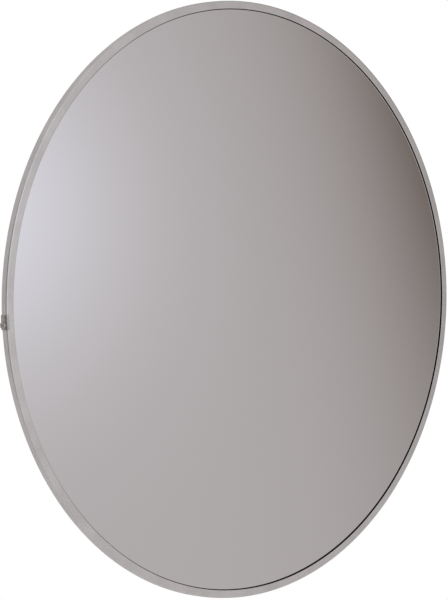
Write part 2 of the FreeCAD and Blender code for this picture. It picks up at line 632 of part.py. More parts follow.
def rim_rivet():
    """The low rivet that holds the saddle to one end of the channel."""
    centre = at(0, RIM_MIDDLE)
    top = RIM_SEAT + RIM_RIVET_HEIGHT
    solid = fused(domed_head(RIM_RIVET_HEAD, RIM_SEAT, top, 0.8, AXIS_X, centre),
                  rod(RIM_RIVET, STRIP_INSIDE, RIM_SEAT + PAST / 2, AXIS_X, centre))
    return turned(solid, SADDLE_ANGLE - rim_degrees(RIVET_AT))


# ================================================================ all nodes
PIECES = (wall_plate, sleeve_tube, gusset_plates, clamp_boss, sleeve_collar, clamp_pad, clamp_screw,
          clamp_bar, clamp_bar_caps, inner_tube, stop_screw, stop_nut, pan_fork, tilt_clevis,
          knuckle_block, mirror_flange, flange_pad, flange_bolts, flange_nuts, spreader_plate,
          back_pan, lens_seal, mirror_lens, front_gasket, rim_channel, rim_saddle, saddle_strip,
          rim_screw, rim_rivet)
PIVOT_PIECES = {"bolt": pivot_bolt, "nut": pivot_nut, "washers": pivot_washers, "bush": pivot_bush,
                "friction_discs": friction_discs}
PIVOTS = {"pan": (AXIS_Z, PAN_OUT), "tilt": (AXIS_X, TILT_OUT)}


def write_node(name, shape):
    """Check a node's solids and write its STEP file."""
    if not shape.isValid() or min(solid.Volume for solid in shape.Solids) <= 0:
        raise RuntimeError(f"{name} is not sound")
    shape.exportStep(f"parts/{name}.step")
    print(f"{name:22s} solids {len(shape.Solids)}  volume {shape.Volume / 1000:9.3f} cm3")


def main():
    os.makedirs("parts", exist_ok=True)
    for build in PIECES:
        write_node(build.__name__, build())
    for pivot, (axis, out) in PIVOTS.items():
        for piece, build in PIVOT_PIECES.items():
            write_node(f"{pivot}_{piece}", build(axis, out))


main()
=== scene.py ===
"""Looks for a convex traffic mirror on a telescopic pan-and-tilt bracket.

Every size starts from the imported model's boxes.  Lengths are metres, the mirror faces -Y, +Z is up,
and "out" is the distance in front of the wall, so y = -out.
"""

import json
import logging
import math
from dataclasses import dataclass, field
from enum import Enum

import bmesh
import bpy
import numpy as np
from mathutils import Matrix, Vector


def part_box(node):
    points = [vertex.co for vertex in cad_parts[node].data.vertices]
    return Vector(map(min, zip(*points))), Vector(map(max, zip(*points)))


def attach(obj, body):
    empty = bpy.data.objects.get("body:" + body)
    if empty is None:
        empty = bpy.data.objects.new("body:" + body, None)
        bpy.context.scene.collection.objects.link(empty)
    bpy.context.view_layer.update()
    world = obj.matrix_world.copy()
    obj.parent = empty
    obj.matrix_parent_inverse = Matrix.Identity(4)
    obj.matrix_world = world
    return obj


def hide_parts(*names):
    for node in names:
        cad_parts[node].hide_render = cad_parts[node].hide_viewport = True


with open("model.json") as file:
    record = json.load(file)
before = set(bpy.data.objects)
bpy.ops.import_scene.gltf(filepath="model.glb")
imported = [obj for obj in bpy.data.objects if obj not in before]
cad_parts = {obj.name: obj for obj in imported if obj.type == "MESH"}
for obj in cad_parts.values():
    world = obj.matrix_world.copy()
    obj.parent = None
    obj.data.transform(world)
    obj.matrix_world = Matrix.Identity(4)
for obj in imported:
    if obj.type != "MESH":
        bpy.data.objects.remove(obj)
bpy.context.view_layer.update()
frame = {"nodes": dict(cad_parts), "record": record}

LOG = logging.getLogger("convex_mirror")
MM = 0.001
TURN = 2.0 * math.pi
Colour = tuple[float, float, float]
Socket = bpy.types.NodeSocket


# ================================================================ places in the frame
class Axis(Enum):
    """Directions that pieces are turned about, each with the two directions its angle runs between."""

    FORWARD = ((1, 0, 0), (0, 0, 1), (0, -1, 0))
    BACK = ((0, 0, 1), (1, 0, 0), (0, 1, 0))
    UP = ((1, 0, 0), (0, 1, 0), (0, 0, 1))
    DOWN = ((0, 1, 0), (1, 0, 0), (0, 0, -1))
    RIGHT = ((0, 1, 0), (0, 0, 1), (1, 0, 0))
    LEFT = ((0, 0, 1), (0, 1, 0), (-1, 0, 0))

    @property
    def basis(self) -> np.ndarray:
        """Rows: where the angle starts, where it is a quarter turn later, and the axis itself."""
        return np.array(self.value, float)


@dataclass(frozen=True)
class Extent:
    """A CAD node's box, read as x, out and z."""

    low: Vector
    high: Vector

    @classmethod
    def of(cls, node: str) -> "Extent":
        """The box of one CAD node."""
        return cls(*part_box(node))

    @property
    def rear(self) -> float:
        """Distance of the node's rear from the wall."""
        return -self.high.y

    @property
    def front(self) -> float:
        """Distance of the node's front from the wall."""
        return -self.low.y

    @property
    def centre(self) -> np.ndarray:
        """The middle of the box."""
        return np.array((self.low + self.high) / 2)

    @property
    def size(self) -> np.ndarray:
        """The box's three sides."""
        return np.array(self.high - self.low)


# ================================================================ outlines
def rounded_outline(corners: np.ndarray, radii: np.ndarray, steps: int = 6) -> np.ndarray:
    """A closed outline whose corners are arcs.

    Each arc's centre lies on the corner's bisector at radius / sin(half angle), and its points turn
    evenly from one tangent point to the other.

    Args:
        corners: the outline's corners, one row each.
        radii: the radius of each corner, or zero to leave it sharp.
        steps: how many pieces an arc is divided into.

    Returns:
        The outline's points, one row each.
    """
    points = []
    around = zip(corners, np.roll(corners, 1, 0), np.roll(corners, -1, 0), radii)
    for corner, previous, following, radius in around:
        if radius <= 0:
            points.append(corner[None])
            continue
        before = (previous - corner) / np.linalg.norm(previous - corner)
        after = (following - corner) / np.linalg.norm(following - corner)
        half = math.acos(np.clip(before @ after, -1, 1)) / 2
        bisector = (before + after) / np.linalg.norm(before + after)
        centre = corner + bisector * radius / math.sin(half)
        first = corner + before * radius / math.tan(half) - centre
        last = corner + after * radius / math.tan(half) - centre
        way = np.sign(first[0] * last[1] - first[1] * last[0])
        turn = way * (math.pi - 2 * half) * np.linspace(0, 1, steps + 1)[:, None]
        points.append(centre + first * np.cos(turn) + np.array([-first[1], first[0]]) * np.sin(turn))
    return np.concatenate(points)


def sheet_outline(path: np.ndarray, sheet: float, bend: float, steps: int = 6) -> np.ndarray:
    """The closed section of a bent sheet.

    The far side is the path moved left by the sheet's thickness, mitred at each corner.

    Args:
        path: the sheet's near side, one row per corner.
        sheet: the thickness.
        bend: the inside radius of every bend.
        steps: how many pieces a bend is divided into.

    Returns:
        The section's points, counter-clockwise where the path is.
    """
    step = np.diff(path, axis=0)
    step /= np.linalg.norm(step, axis=1)[:, None]
    normal = np.stack([-step[:, 1], step[:, 0]], 1)
    before, after = np.vstack([normal[:1], normal]), np.vstack([normal, normal[-1:]])
    mitre = before + after
    mitre /= np.linalg.norm(mitre, axis=1)[:, None]
    other = path + mitre * (sheet / (mitre * before).sum(1))[:, None]
    turn = before[:, 0] * after[:, 1] - before[:, 1] * after[:, 0]
    ends = 0.3 * sheet
    near = np.where(turn > 1e-9, bend + sheet, np.where(turn < -1e-9, bend, ends))
    far = np.where(turn > 1e-9, bend, np.where(turn < -1e-9, bend + sheet, ends))
    return rounded_outline(np.vstack([path, other[::-1]]), np.concatenate([near, far[::-1]]), steps)


def refined(outline: np.ndarray, longest: float) -> np.ndarray:
    """A closed outline with points added evenly on each side that is longer than a length.

    Args:
        outline: the corners in order, one row each.
        longest: the longest side that is left.

    Returns:
        The outline with its added points.
    """
    pieces = []
    for start, end in zip(outline, np.roll(outline, -1, 0)):
        count = max(1, math.ceil(np.linalg.norm(end - start) / longest))
        pieces.append(start + (end - start) * (np.arange(count) / count)[:, None])
    return np.concatenate(pieces)


# ================================================================ fasteners, as rings along an axis
@dataclass(frozen=True)
class Rings:
    """Rings along an axis: each one's height, and its radius at every angle."""

    heights: np.ndarray
    radii: np.ndarray

    @classmethod
    def round(cls, *pairs: tuple[float, float], columns: int = 48) -> "Rings":
        """Round rings from pairs of height and radius."""
        table = np.array(pairs, float)
        return cls(table[:, 0], np.repeat(table[:, 1:], columns, 1))

    @classmethod
    def square(cls, half: float, start: float, end: float, columns: int = 48) -> "Rings":
        """A square prism, whose radius is the half side over the larger of |cos| and |sin|."""
        angles = np.arange(columns) / columns * TURN
        side = half / np.maximum(np.abs(np.cos(angles)), np.abs(np.sin(angles)))
        return cls(np.array([start, end]), np.stack([side, side]))

    @classmethod
    def hexagon(cls, across: float, start: float, end: float, columns: int = 48) -> "Rings":
        """A hexagonal prism with its corners turned off at both ends.

        The radius is the smaller of the hexagon's, half the width across flats over the cosine to the
        nearest flat, and a cone's that opens at 30 degrees from each end.

        Args:
            across: the width across flats.
            start: where the prism begins.
            end: where it ends.
            columns: how many steps a turn takes.

        Returns:
            The prism's rings.
        """
        angles = np.arange(columns) / columns * TURN
        flats = across / 2 / np.cos((angles + math.pi / 6) % (math.pi / 3) - math.pi / 6)
        depth = np.array([0, 0.04, 0.09]) * across
        heights = np.concatenate([start + depth, end - depth[::-1]])
        cone = 0.475 * across + 1.73 * np.minimum(heights - start, end - heights)
        return cls(heights, np.minimum(flats[None], cone[:, None]))

    @classmethod
    def thread(cls, radius: float, pitch: float, start: float, end: float, columns: int = 48) -> "Rings":
        """A screw thread.

        The radius at angle a and height h is the crest less 0.6 of the pitch times how far the fraction
        of h / pitch - a / turn lies from a crest, and it fades to the root over a pitch at each end.

        Args:
            radius: the crest's radius.
            pitch: the height of one turn.
            start: where the thread begins.
            end: where it ends.
            columns: how many steps a turn takes.

        Returns:
            The thread's rings.
        """
        heights = np.linspace(start, end, int((end - start) / pitch * 8) + 1)
        angles = np.arange(columns)[None] / columns
        away = 2 * np.abs((heights[:, None] / pitch - angles) % 1 - 0.5)
        fade = np.clip(np.minimum(heights - start, end - heights) / pitch, 0, 1)[:, None]
        return cls(heights, radius - 0.6 * pitch * (1 - (1 - away) * fade))

    def __add__(self, other: "Rings") -> "Rings":
        """These rings followed by others."""
        return Rings(np.concatenate([self.heights, other.heights]), np.vstack([self.radii, other.radii]))

    def piece(self, name: str, axis: Axis, centre: np.ndarray, bored: bool = False) -> bpy.types.Object:
        """The piece that the rings make."""
        return turned_solid(name, self.heights, self.radii, axis, centre, self.radii.shape[1], bored)


# ================================================================ meshes
def make_piece(name: str, points: np.ndarray, faces: np.ndarray, lay: np.ndarray | None = None,
               caps: tuple[np.ndarray, ...] = ()) -> bpy.types.Object:
    """A piece from arrays, welded, with outward faces, smooth shading and its curvature stored.

    Args:
        name: the piece's name.
        points: the vertices, one row each.
        faces: quads as rows of four vertex numbers.
        lay: distances along and across the surface at each vertex, for the piece's UV map.
        caps: loops of vertex numbers that close the ends.

    Returns:
        The object, at the origin.
    """
    mesh = bpy.data.meshes.new(name)
    mesh.from_pydata(points, [], [*faces.tolist(), *[cap.tolist() for cap in caps]])
    if lay is not None:
        corner = np.empty(len(mesh.loops), np.int32)
        mesh.loops.foreach_get("vertex_index", corner)
        mesh.uv_layers.new(name="lay").data.foreach_set("uv", lay[corner].astype(np.float32).ravel())
    finish_mesh(mesh)
    piece = bpy.data.objects.new(name, mesh)
    bpy.context.scene.collection.objects.link(piece)
    return piece


def finish_mesh(mesh: bpy.types.Mesh, sharp: float = 38.0) -> None:
    """Weld a mesh's seams and poles, point its faces outwards, shade it smooth and store its curvature.

    Args:
        mesh: the mesh, which is changed in place.
        sharp: the angle in degrees past which an edge stays sharp.
    """
    work = bmesh.new()
    work.from_mesh(mesh)
    bmesh.ops.remove_doubles(work, verts=work.verts, dist=1e-7)
    bmesh.ops.dissolve_degenerate(work, edges=work.edges, dist=1e-8)
    bmesh.ops.recalc_face_normals(work, faces=work.faces)
    work.to_mesh(mesh)
    work.free()
    mesh.shade_smooth()
    mesh.set_sharp_from_angle(angle=math.radians(sharp))
    store_curvature(mesh)


def store_curvature(mesh: bpy.types.Mesh, tightest: float = 0.8 * MM) -> None:
    """Store on each face how tightly it is bent, from 0 for flat to 1 at a radius of about a millimetre.

    A face's bend is the sum, over its edges, of the outward angle to the next face times the edge's
    length, divided by the face's area.

    Args:
        mesh: the mesh, which gets a face attribute named edge.
        tightest: the radius that counts as 1.
    """
    count = len(mesh.polygons)
    normal, centre, area = np.empty(count * 3), np.empty(count * 3), np.empty(count)
    mesh.polygons.foreach_get("normal", normal)
    mesh.polygons.foreach_get("center", centre)
    mesh.polygons.foreach_get("area", area)
    normal, centre = normal.reshape(-1, 3), centre.reshape(-1, 3)
    loop_edge, total = np.empty(len(mesh.loops), np.int32), np.empty(count, np.int32)
    mesh.loops.foreach_get("edge_index", loop_edge)
    mesh.polygons.foreach_get("loop_total", total)
    face = np.repeat(np.arange(count), total)
    order = np.argsort(loop_edge, kind="stable")
    same = loop_edge[order][1:] == loop_edge[order][:-1]
    first, second = face[order][:-1][same], face[order][1:][same]
    edge = loop_edge[order][:-1][same]
    place, ends = np.empty(len(mesh.vertices) * 3), np.empty(len(mesh.edges) * 2, np.int32)
    mesh.vertices.foreach_get("co", place)
    mesh.edges.foreach_get("vertices", ends)
    place, ends = place.reshape(-1, 3), ends.reshape(-1, 2)
    length = np.linalg.norm(place[ends[edge, 0]] - place[ends[edge, 1]], axis=1)
    angle = np.arccos(np.clip((normal[first] * normal[second]).sum(1), -1, 1))
    outward = ((normal[first] * (centre[second] - centre[first])).sum(1) < 0).astype(float)
    bend = np.zeros(count)
    np.add.at(bend, first, angle * length * outward)
    np.add.at(bend, second, angle * length * outward)
    bend = np.clip(bend / np.maximum(area, 1e-12) * tightest / 2, 0, 1)
    mesh.attributes.new("edge", "FLOAT", "FACE").data.foreach_set("value", bend.astype(np.float32))


def ring_grid(rows: int, columns: int, wrap_rows: bool, wrap_columns: bool) -> np.ndarray:
    """The quads of a grid of vertices, numbered row by row, joined round either way if asked.

    Args:
        rows: how many rows of vertices there are.
        columns: how many vertices a row has.
        wrap_rows: whether the last row joins the first.
        wrap_columns: whether each row's last vertex joins its first.

    Returns:
        Four vertex numbers to a face.
    """
    row = np.arange(rows if wrap_rows else rows - 1)[:, None]
    column = np.arange(columns if wrap_columns else columns - 1)[None]
    next_row, next_column = (row + 1) % rows, (column + 1) % columns
    return np.stack([row * columns + column, row * columns + next_column,
                     next_row * columns + next_column, next_row * columns + column], -1).reshape(-1, 4)


def turned_ring(name: str, outline: np.ndarray, columns: int, sweep: tuple[float, float] = (0.0, TURN),
                axis: Axis = Axis.FORWARD, centre: np.ndarray | None = None) -> bpy.types.Object:
    """A closed outline carried round an axis.

    A point at (radius r, height h) and angle a lies at centre + r (cos a u + sin a v) + h w, where u, v
    and w are the axis's basis.  A part turn gets a flat cap at each end.

    Args:
        name: the piece's name.
        outline: rows of radius and height, counter-clockwise.
        columns: how many steps the turn takes.
        sweep: first and last angle.
        axis: what it turns about.
        centre: a point on the axis; the frame's origin if left out.

    Returns:
        The piece.
    """
    whole = abs(sweep[1] - sweep[0] - TURN) < 1e-9
    angles = np.linspace(*sweep, columns + 1)[:columns if whole else None]
    u, v, w = axis.basis
    arm = np.cos(angles)[None, :, None] * u + np.sin(angles)[None, :, None] * v
    points = outline[:, 0, None, None] * arm + outline[:, 1, None, None] * w
    points = points + (np.zeros(3) if centre is None else centre)
    across = np.concatenate([[0], np.cumsum(np.linalg.norm(np.diff(outline, axis=0), axis=1))])
    lay = np.stack(np.broadcast_arrays(angles[None] * outline[:, 0].max(), across[:, None]), -1)
    rows, count = len(outline), len(angles)
    faces = ring_grid(rows, count, True, whole)
    loop = np.arange(rows) * count
    caps = () if whole else (loop[::-1], loop + count - 1)
    return make_piece(name, points.reshape(-1, 3), faces, lay.reshape(-1, 2), caps)


def turned_solid(name: str, heights: np.ndarray, radii: np.ndarray, axis: Axis, centre: np.ndarray,
                 columns: int = 48, bored: bool = False) -> bpy.types.Object:
    """A solid of rings stacked along an axis, each ring round or with a radius that changes with angle.

    The point at ring i and angle a lies at centre + radius[i](a) (cos a u + sin a v) + height[i] w.  A
    first and last radius of zero close the ends.

    Args:
        name: the piece's name.
        heights: each ring's place along the axis.
        radii: each ring's radius, either one number or one number per angle.
        axis: the axis.
        centre: a point on the axis.
        columns: how many steps a turn takes.
        bored: whether the last ring joins the first, as round a hole.

    Returns:
        The piece.
    """
    angles = np.arange(columns) / columns * TURN
    radii = np.broadcast_to(np.asarray(radii, float).reshape(len(heights), -1), (len(heights), columns))
    u, v, w = axis.basis
    arm = np.cos(angles)[:, None] * u + np.sin(angles)[:, None] * v
    points = radii[..., None] * arm[None] + np.asarray(heights)[:, None, None] * w + centre
    across = np.concatenate([[0], np.cumsum(np.abs(np.diff(heights)) + np.abs(np.diff(radii.mean(1))))])
    lay = np.stack(np.broadcast_arrays(angles[None] * radii.max(), across[:, None]), -1)
    return make_piece(name, points.reshape(-1, 3), ring_grid(len(heights), columns, bored, True),
                      lay.reshape(-1, 2))


def weld_bead(name: str, path: np.ndarray, about: Axis, size: float, seed: int, sides: int = 10,
              closed: bool = True) -> bpy.types.Object:
    """A weld bead: a round section carried along a path, swollen by a row of overlapping ripples.

    The radius at distance s is size (1 + 0.16 |sin(pi s / pitch)| + a slow drift), with a pitch of 0.8
    of the size, and each ring leans with its place round the section so that the ripples are crescents.

    Args:
        name: the piece's name.
        path: the bead's centre line, one row per point, evenly spaced.
        about: a direction that the path nowhere runs along, from which its sides are told.
        size: the bead's radius.
        seed: picks the slow drift.
        sides: how many points go round the section.
        closed: whether the path returns to its start.

    Returns:
        The piece.
    """
    ahead = np.roll(path, -1, 0) - np.roll(path, 1, 0)
    if not closed:
        ahead[0], ahead[-1] = path[1] - path[0], path[-1] - path[-2]
    ahead /= np.linalg.norm(ahead, axis=1)[:, None]
    side = np.cross(ahead, about.basis[2])
    side /= np.linalg.norm(side, axis=1)[:, None]
    other = np.cross(ahead, side)
    gap = np.linalg.norm(np.diff(path, axis=0, append=path[:1]), axis=1)
    along = np.concatenate([[0], np.cumsum(gap)[:-1]])
    drift = np.random.default_rng(seed).normal(size=4)
    slow = sum(0.03 * d * np.sin(TURN * (i + 2) * along / gap.sum() + i) for i, d in enumerate(drift))
    angle = np.arange(sides) / sides * TURN
    lean = along[:, None] + 0.35 * size * np.cos(angle)[None]
    swell = size * (1 + 0.16 * np.abs(np.sin(math.pi * lean / (0.8 * size))) + slow[:, None])
    if not closed:
        taper = np.minimum(1, np.minimum(np.arange(len(path)), np.arange(len(path))[::-1]) / 6 + 1e-3)
        swell = swell * np.sqrt(taper)[:, None]
    points = path[:, None] + swell[..., None] * (np.cos(angle)[None, :, None] * side[:, None]
                                                 + np.sin(angle)[None, :, None] * other[:, None])
    loops = () if closed else (np.arange(sides)[::-1], (len(path) - 1) * sides + np.arange(sides))
    lay = np.stack(np.broadcast_arrays(along[:, None], angle[None] * size), -1)
    return make_piece(name, points.reshape(-1, 3), ring_grid(len(path), sides, closed, True),
                      lay.reshape(-1, 2), loops)


def circle_path(radius: float, axis: Axis, centre: np.ndarray, spacing: float = 0.5 * MM) -> np.ndarray:
    """Evenly spaced points round a circle."""
    count = max(24, int(TURN * radius / spacing))
    angles = np.arange(count) / count * TURN
    u, v, _ = axis.basis
    return centre + radius * (np.cos(angles)[:, None] * u + np.sin(angles)[:, None] * v)


def line_path(start: np.ndarray, end: np.ndarray, spacing: float = 0.5 * MM) -> np.ndarray:
    """Evenly spaced points from one place to another."""
    count = max(8, int(np.linalg.norm(end - start) / spacing))
    return start + (end - start) * np.linspace(0, 1, count)[:, None]


def softened_copy(node: str, edge: float, segments: int = 2) -> bpy.types.Object:
    """A welded copy of a CAD node with every sharp edge rounded over, which stands for the node.

    Args:
        node: the CAD node.
        edge: how wide the rounding is.
        segments: how many faces the rounding has.

    Returns:
        The piece, named after the node.
    """
    mesh = frame["nodes"][node].data.copy()
    mesh.name = f"{node}_finished"
    work = bmesh.new()
    work.from_mesh(mesh)
    bmesh.ops.remove_doubles(work, verts=work.verts, dist=1e-6)
    bmesh.ops.dissolve_limit(work, angle_limit=math.radians(0.6), verts=work.verts, edges=work.edges)
    work.to_mesh(mesh)
    work.free()
    mesh.shade_smooth()
    mesh.set_sharp_from_angle(angle=math.radians(38))
    piece = bpy.data.objects.new(f"{node}_finished", mesh)
    bpy.context.scene.collection.objects.link(piece)
    bevel = piece.modifiers.new("round", "BEVEL")
    bevel.width, bevel.segments = edge, segments
    bevel.limit_method, bevel.angle_limit = "ANGLE", math.radians(38)
    bevel.use_clamp_overlap, bevel.miter_outer = True, "MITER_ARC"
    even = piece.modifiers.new("even", "WEIGHTED_NORMAL")
    even.keep_sharp, even.weight = True, 80
    applied = bpy.data.meshes.new_from_object(piece.evaluated_get(bpy.context.evaluated_depsgraph_get()))
    piece.modifiers.clear()
    piece.data = applied
    store_curvature(applied)
    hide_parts(node)
    return piece


def joined(name: str, parts: list[bpy.types.Object]) -> bpy.types.Object:
    """One object from several pieces, keeping their UV maps and attributes."""
    with bpy.context.temp_override(active_object=parts[0], selected_editable_objects=parts):
        bpy.ops.object.join()
    parts[0].name = name
    return parts[0]


def pierced(piece: bpy.types.Object, cutters: list[bpy.types.Object]) -> bpy.types.Object:
    """The piece with the cutters taken out of it, after which they are deleted.

    Args:
        piece: the piece to cut.
        cutters: closed pieces to take out of it.

    Returns:
        The same piece, cut.
    """
    for cutter in cutters:
        cut = piece.modifiers.new("hole", "BOOLEAN")
        cut.object, cut.operation, cut.solver = cutter, "DIFFERENCE", "EXACT"
    applied = bpy.data.meshes.new_from_object(piece.evaluated_get(bpy.context.evaluated_depsgraph_get()))
    piece.modifiers.clear()
    piece.data = applied
    for cutter in cutters:
        bpy.data.objects.remove(cutter)
    applied.set_sharp_from_angle(angle=math.radians(38))
    return piece


# ================================================================ node graphs
class Graph:
    """A node tree that is built by naming its nodes' inputs."""

    def __init__(self, tree: bpy.types.NodeTree) -> None:
        """Start with an empty tree."""
        self.tree = tree
        tree.nodes.clear()

    def node(self, kind: str, inputs: dict[str | int, object] | None = None,
             **settings: object) -> bpy.types.Node:
        """Add a node.

        Args:
            kind: the node's type.
            inputs: what each input gets, a socket to link or a plain value.
            settings: the node's own properties.

        Returns:
            The node.
        """
        made = self.tree.nodes.new(kind)
        for name, value in settings.items():
            setattr(made, name, value)
        for name, value in (inputs or {}).items():
            if isinstance(value, bpy.types.NodeSocket):
                self.tree.links.new(value, made.inputs[name])
            else:
                made.inputs[name].default_value = value
        return made

    def math(self, operation: str, first: object, second: object = 0.0, third: object = 0.0,
             clamp: bool = False) -> Socket:
        """The result of one arithmetic step."""
        return self.node("ShaderNodeMath", {0: first, 1: second, 2: third}, operation=operation,
                         use_clamp=clamp).outputs[0]

    def vector(self, operation: str, first: object, second: object = (0, 0, 0)) -> bpy.types.Node:
        """A vector arithmetic node."""
        return self.node("ShaderNodeVectorMath", {0: first, 1: second}, operation=operation)

    def ramp(self, value: object, low: float, high: float, to_low: float = 0.0, to_high: float = 1.0) -> Socket:
        """A value carried smoothly from one range to another, and held at its ends."""
        return self.node("ShaderNodeMapRange", {"Value": value, "From Min": low, "From Max": high,
                                                "To Min": to_low, "To Max": to_high},
                         interpolation_type="SMOOTHSTEP").outputs["Result"]

    def blend(self, factor: object, first: object, second: object) -> Socket:
        """A mix of two colours.

        Args:
            factor: how much of the second shows.
            first: the colour at 0.
            second: the colour at 1.

        Returns:
            The mixed colour.
        """
        made = self.node("ShaderNodeMix", data_type="RGBA")
        colour_inputs = [s for s in made.inputs if s.type == "RGBA"]
        for socket, value in ((made.inputs[0], factor), (colour_inputs[0], first), (colour_inputs[1], second)):
            if isinstance(value, bpy.types.NodeSocket):
                self.tree.links.new(value, socket)
            elif socket.type == "RGBA":
                socket.default_value = (*value[:3], 1.0)
            else:
                socket.default_value = value
        return next(s for s in made.outputs if s.type == "RGBA")

    def noise(self, vector: Socket, scale: float, detail: float = 3.0, roughness: float = 0.5) -> Socket:
        """Noise between 0 and 1 at a scale in features per metre."""
        return self.node("ShaderNodeTexNoise", {"Vector": vector, "Scale": scale, "Detail": detail,
                                                "Roughness": roughness}).outputs["Fac"]

    def bump(self, height: Socket, distance: float, strength: float = 1.0) -> Socket:
        """A normal from a height between 0 and 1 that stands for a real distance."""
        return self.node("ShaderNodeBump", {"Height": height, "Distance": distance,
                                            "Strength": strength}).outputs["Normal"]


def effect_group(name: str, inputs: dict[str, object], outputs: tuple[str, ...]) -> tuple[Graph, dict, object]:
    """An empty shader node group with named sockets.

    Args:
        name: the group's name.
        inputs: default of each input; a tuple makes a vector socket.
        outputs: names of the number outputs.

    Returns:
        Its graph, its input sockets by name, and its output node.
    """
    tree = bpy.data.node_groups.new(name, "ShaderNodeTree")
    graph = Graph(tree)
    for label, default in inputs.items():
        kind = "NodeSocketVector" if isinstance(default, tuple) else "NodeSocketFloat"
        socket = tree.interface.new_socket(label, in_out="INPUT", socket_type=kind)
        socket.default_value = default
    for label in outputs:
        tree.interface.new_socket(label, in_out="OUTPUT", socket_type="NodeSocketFloat")
    entry, leave = tree.nodes.new("NodeGroupInput"), tree.nodes.new("NodeGroupOutput")
    return graph, {label: entry.outputs[label] for label in inputs}, leave


class Effects:
    """Node groups that several finishes use, each made once."""

    def __init__(self) -> None:
        """Build every group."""
        self.drawn = self._drawn()
        self.weather = self._weather()
        self.worn_edge = self._worn_edge()
        self.spangle = self._spangle()

    @staticmethod
    def _drawn() -> bpy.types.NodeTree:
        """Fine lines along one direction: noise squeezed across it, in two widths.

        Returns:
            The effect's group.
        """
        graph, entry, leave = effect_group("drawn_lines", {"Vector": (0.0, 0.0, 0.0), "Fine": 2600.0,
                                                           "Stretch": 0.01}, ("Lines", "Bands"))
        split = graph.node("ShaderNodeSeparateXYZ", {"Vector": entry["Vector"]})
        along = graph.math("MULTIPLY", split.outputs["X"], entry["Stretch"])
        place = graph.node("ShaderNodeCombineXYZ", {"X": along, "Y": split.outputs["Y"],
                                                    "Z": split.outputs["Z"]}).outputs[0]
        lines = graph.node("ShaderNodeTexNoise", {"Vector": place, "Scale": entry["Fine"], "Detail": 2.0})
        wide = graph.math("MULTIPLY", entry["Fine"], 0.16)
        bands = graph.node("ShaderNodeTexNoise", {"Vector": place, "Scale": wide, "Detail": 3.0})
        graph.tree.links.new(lines.outputs["Fac"], leave.inputs["Lines"])
        graph.tree.links.new(bands.outputs["Fac"], leave.inputs["Bands"])
        return graph.tree

    @staticmethod
    def _weather() -> bpy.types.NodeTree:
        """Cloudy stains, and dust that gathers on upward faces in patches.

        Returns:
            The effect's group.
        """
        graph, entry, leave = effect_group("weathering", {"Vector": (0.0, 0.0, 0.0), "Patch": 30.0,
                                                          "Dust": 0.5}, ("Stain", "Dust"))
        stain = graph.node("ShaderNodeTexNoise", {"Vector": entry["Vector"], "Scale": entry["Patch"],
                                                  "Detail": 5.0, "Roughness": 0.62})
        normal = graph.node("ShaderNodeNewGeometry").outputs["Normal"]
        up = graph.node("ShaderNodeSeparateXYZ", {"Vector": normal})
        level = graph.ramp(up.outputs["Z"], -0.1, 0.95)
        fleck = graph.noise(entry["Vector"], 420.0, 4.0, 0.7)
        patch = graph.math("MULTIPLY", graph.ramp(fleck, 0.35, 0.75), level)
        graph.tree.links.new(stain.outputs["Fac"], leave.inputs["Stain"])
        graph.tree.links.new(graph.math("MULTIPLY", patch, entry["Dust"], clamp=True), leave.inputs["Dust"])
        return graph.tree

    @staticmethod
    def _worn_edge() -> bpy.types.NodeTree:
        """Rubbed edges: the stored curvature, broken up by noise.

        Returns:
            The effect's group.
        """
        graph, entry, leave = effect_group("worn_edges", {"Vector": (0.0, 0.0, 0.0), "Amount": 0.6}, ("Worn",))
        edge = graph.node("ShaderNodeAttribute", attribute_name="edge").outputs["Fac"]
        broken = graph.ramp(graph.noise(entry["Vector"], 260.0, 4.0, 0.7), 0.38, 0.62)
        worn = graph.math("MULTIPLY", graph.math("MULTIPLY", edge, broken), entry["Amount"], clamp=True)
        graph.tree.links.new(worn, leave.inputs["Worn"])
        return graph.tree

    @staticmethod
    def _spangle() -> bpy.types.NodeTree:
        """Zinc crystals: flat cells of random shade, with feathered grain inside each.

        Returns:
            The effect's group.
        """
        graph, entry, leave = effect_group("zinc_spangle", {"Vector": (0.0, 0.0, 0.0), "Cells": 90.0},
                                           ("Shade", "Feather"))
        warp = graph.node("ShaderNodeTexNoise", {"Vector": entry["Vector"], "Scale": 160.0, "Detail": 3.0})
        push = graph.node("ShaderNodeVectorMath", {0: warp.outputs["Color"], 1: (0.006, 0.006, 0.006)},
                          operation="MULTIPLY").outputs[0]
        place = graph.vector("ADD", entry["Vector"], push).outputs[0]
        cells = graph.node("ShaderNodeTexVoronoi", {"Vector": place, "Scale": entry["Cells"], "Randomness": 1.0})
        shade = graph.node("ShaderNodeSeparateColor", {"Color": cells.outputs["Color"]})
        turned = graph.node("ShaderNodeVectorMath", {0: place, 1: cells.outputs["Color"]}, operation="MULTIPLY")
        feather = graph.node("ShaderNodeTexNoise", {"Vector": turned.outputs[0], "Scale": 900.0, "Detail": 2.0})
        graph.tree.links.new(shade.outputs["Red"], leave.inputs["Shade"])
        graph.tree.links.new(feather.outputs["Fac"], leave.inputs["Feather"])
        return graph.tree


EFFECTS = Effects()


def new_material(name: str) -> tuple[bpy.types.Material, Graph, bpy.types.Node, Socket]:
    """A material with a Principled shader joined to its output.

    Args:
        name: the material's name.

    Returns:
        The material, its graph, the shader, and the Object coordinates.
    """
    material = bpy.data.materials.new(name)
    material.use_nodes = True
    graph = Graph(material.node_tree)
    shader = graph.node("ShaderNodeBsdfPrincipled")
    output = graph.node("ShaderNodeOutputMaterial")
    graph.tree.links.new(shader.outputs["BSDF"], output.inputs["Surface"])
    place = graph.node("ShaderNodeTexCoord").outputs["Object"]
    return material, graph, shader, place


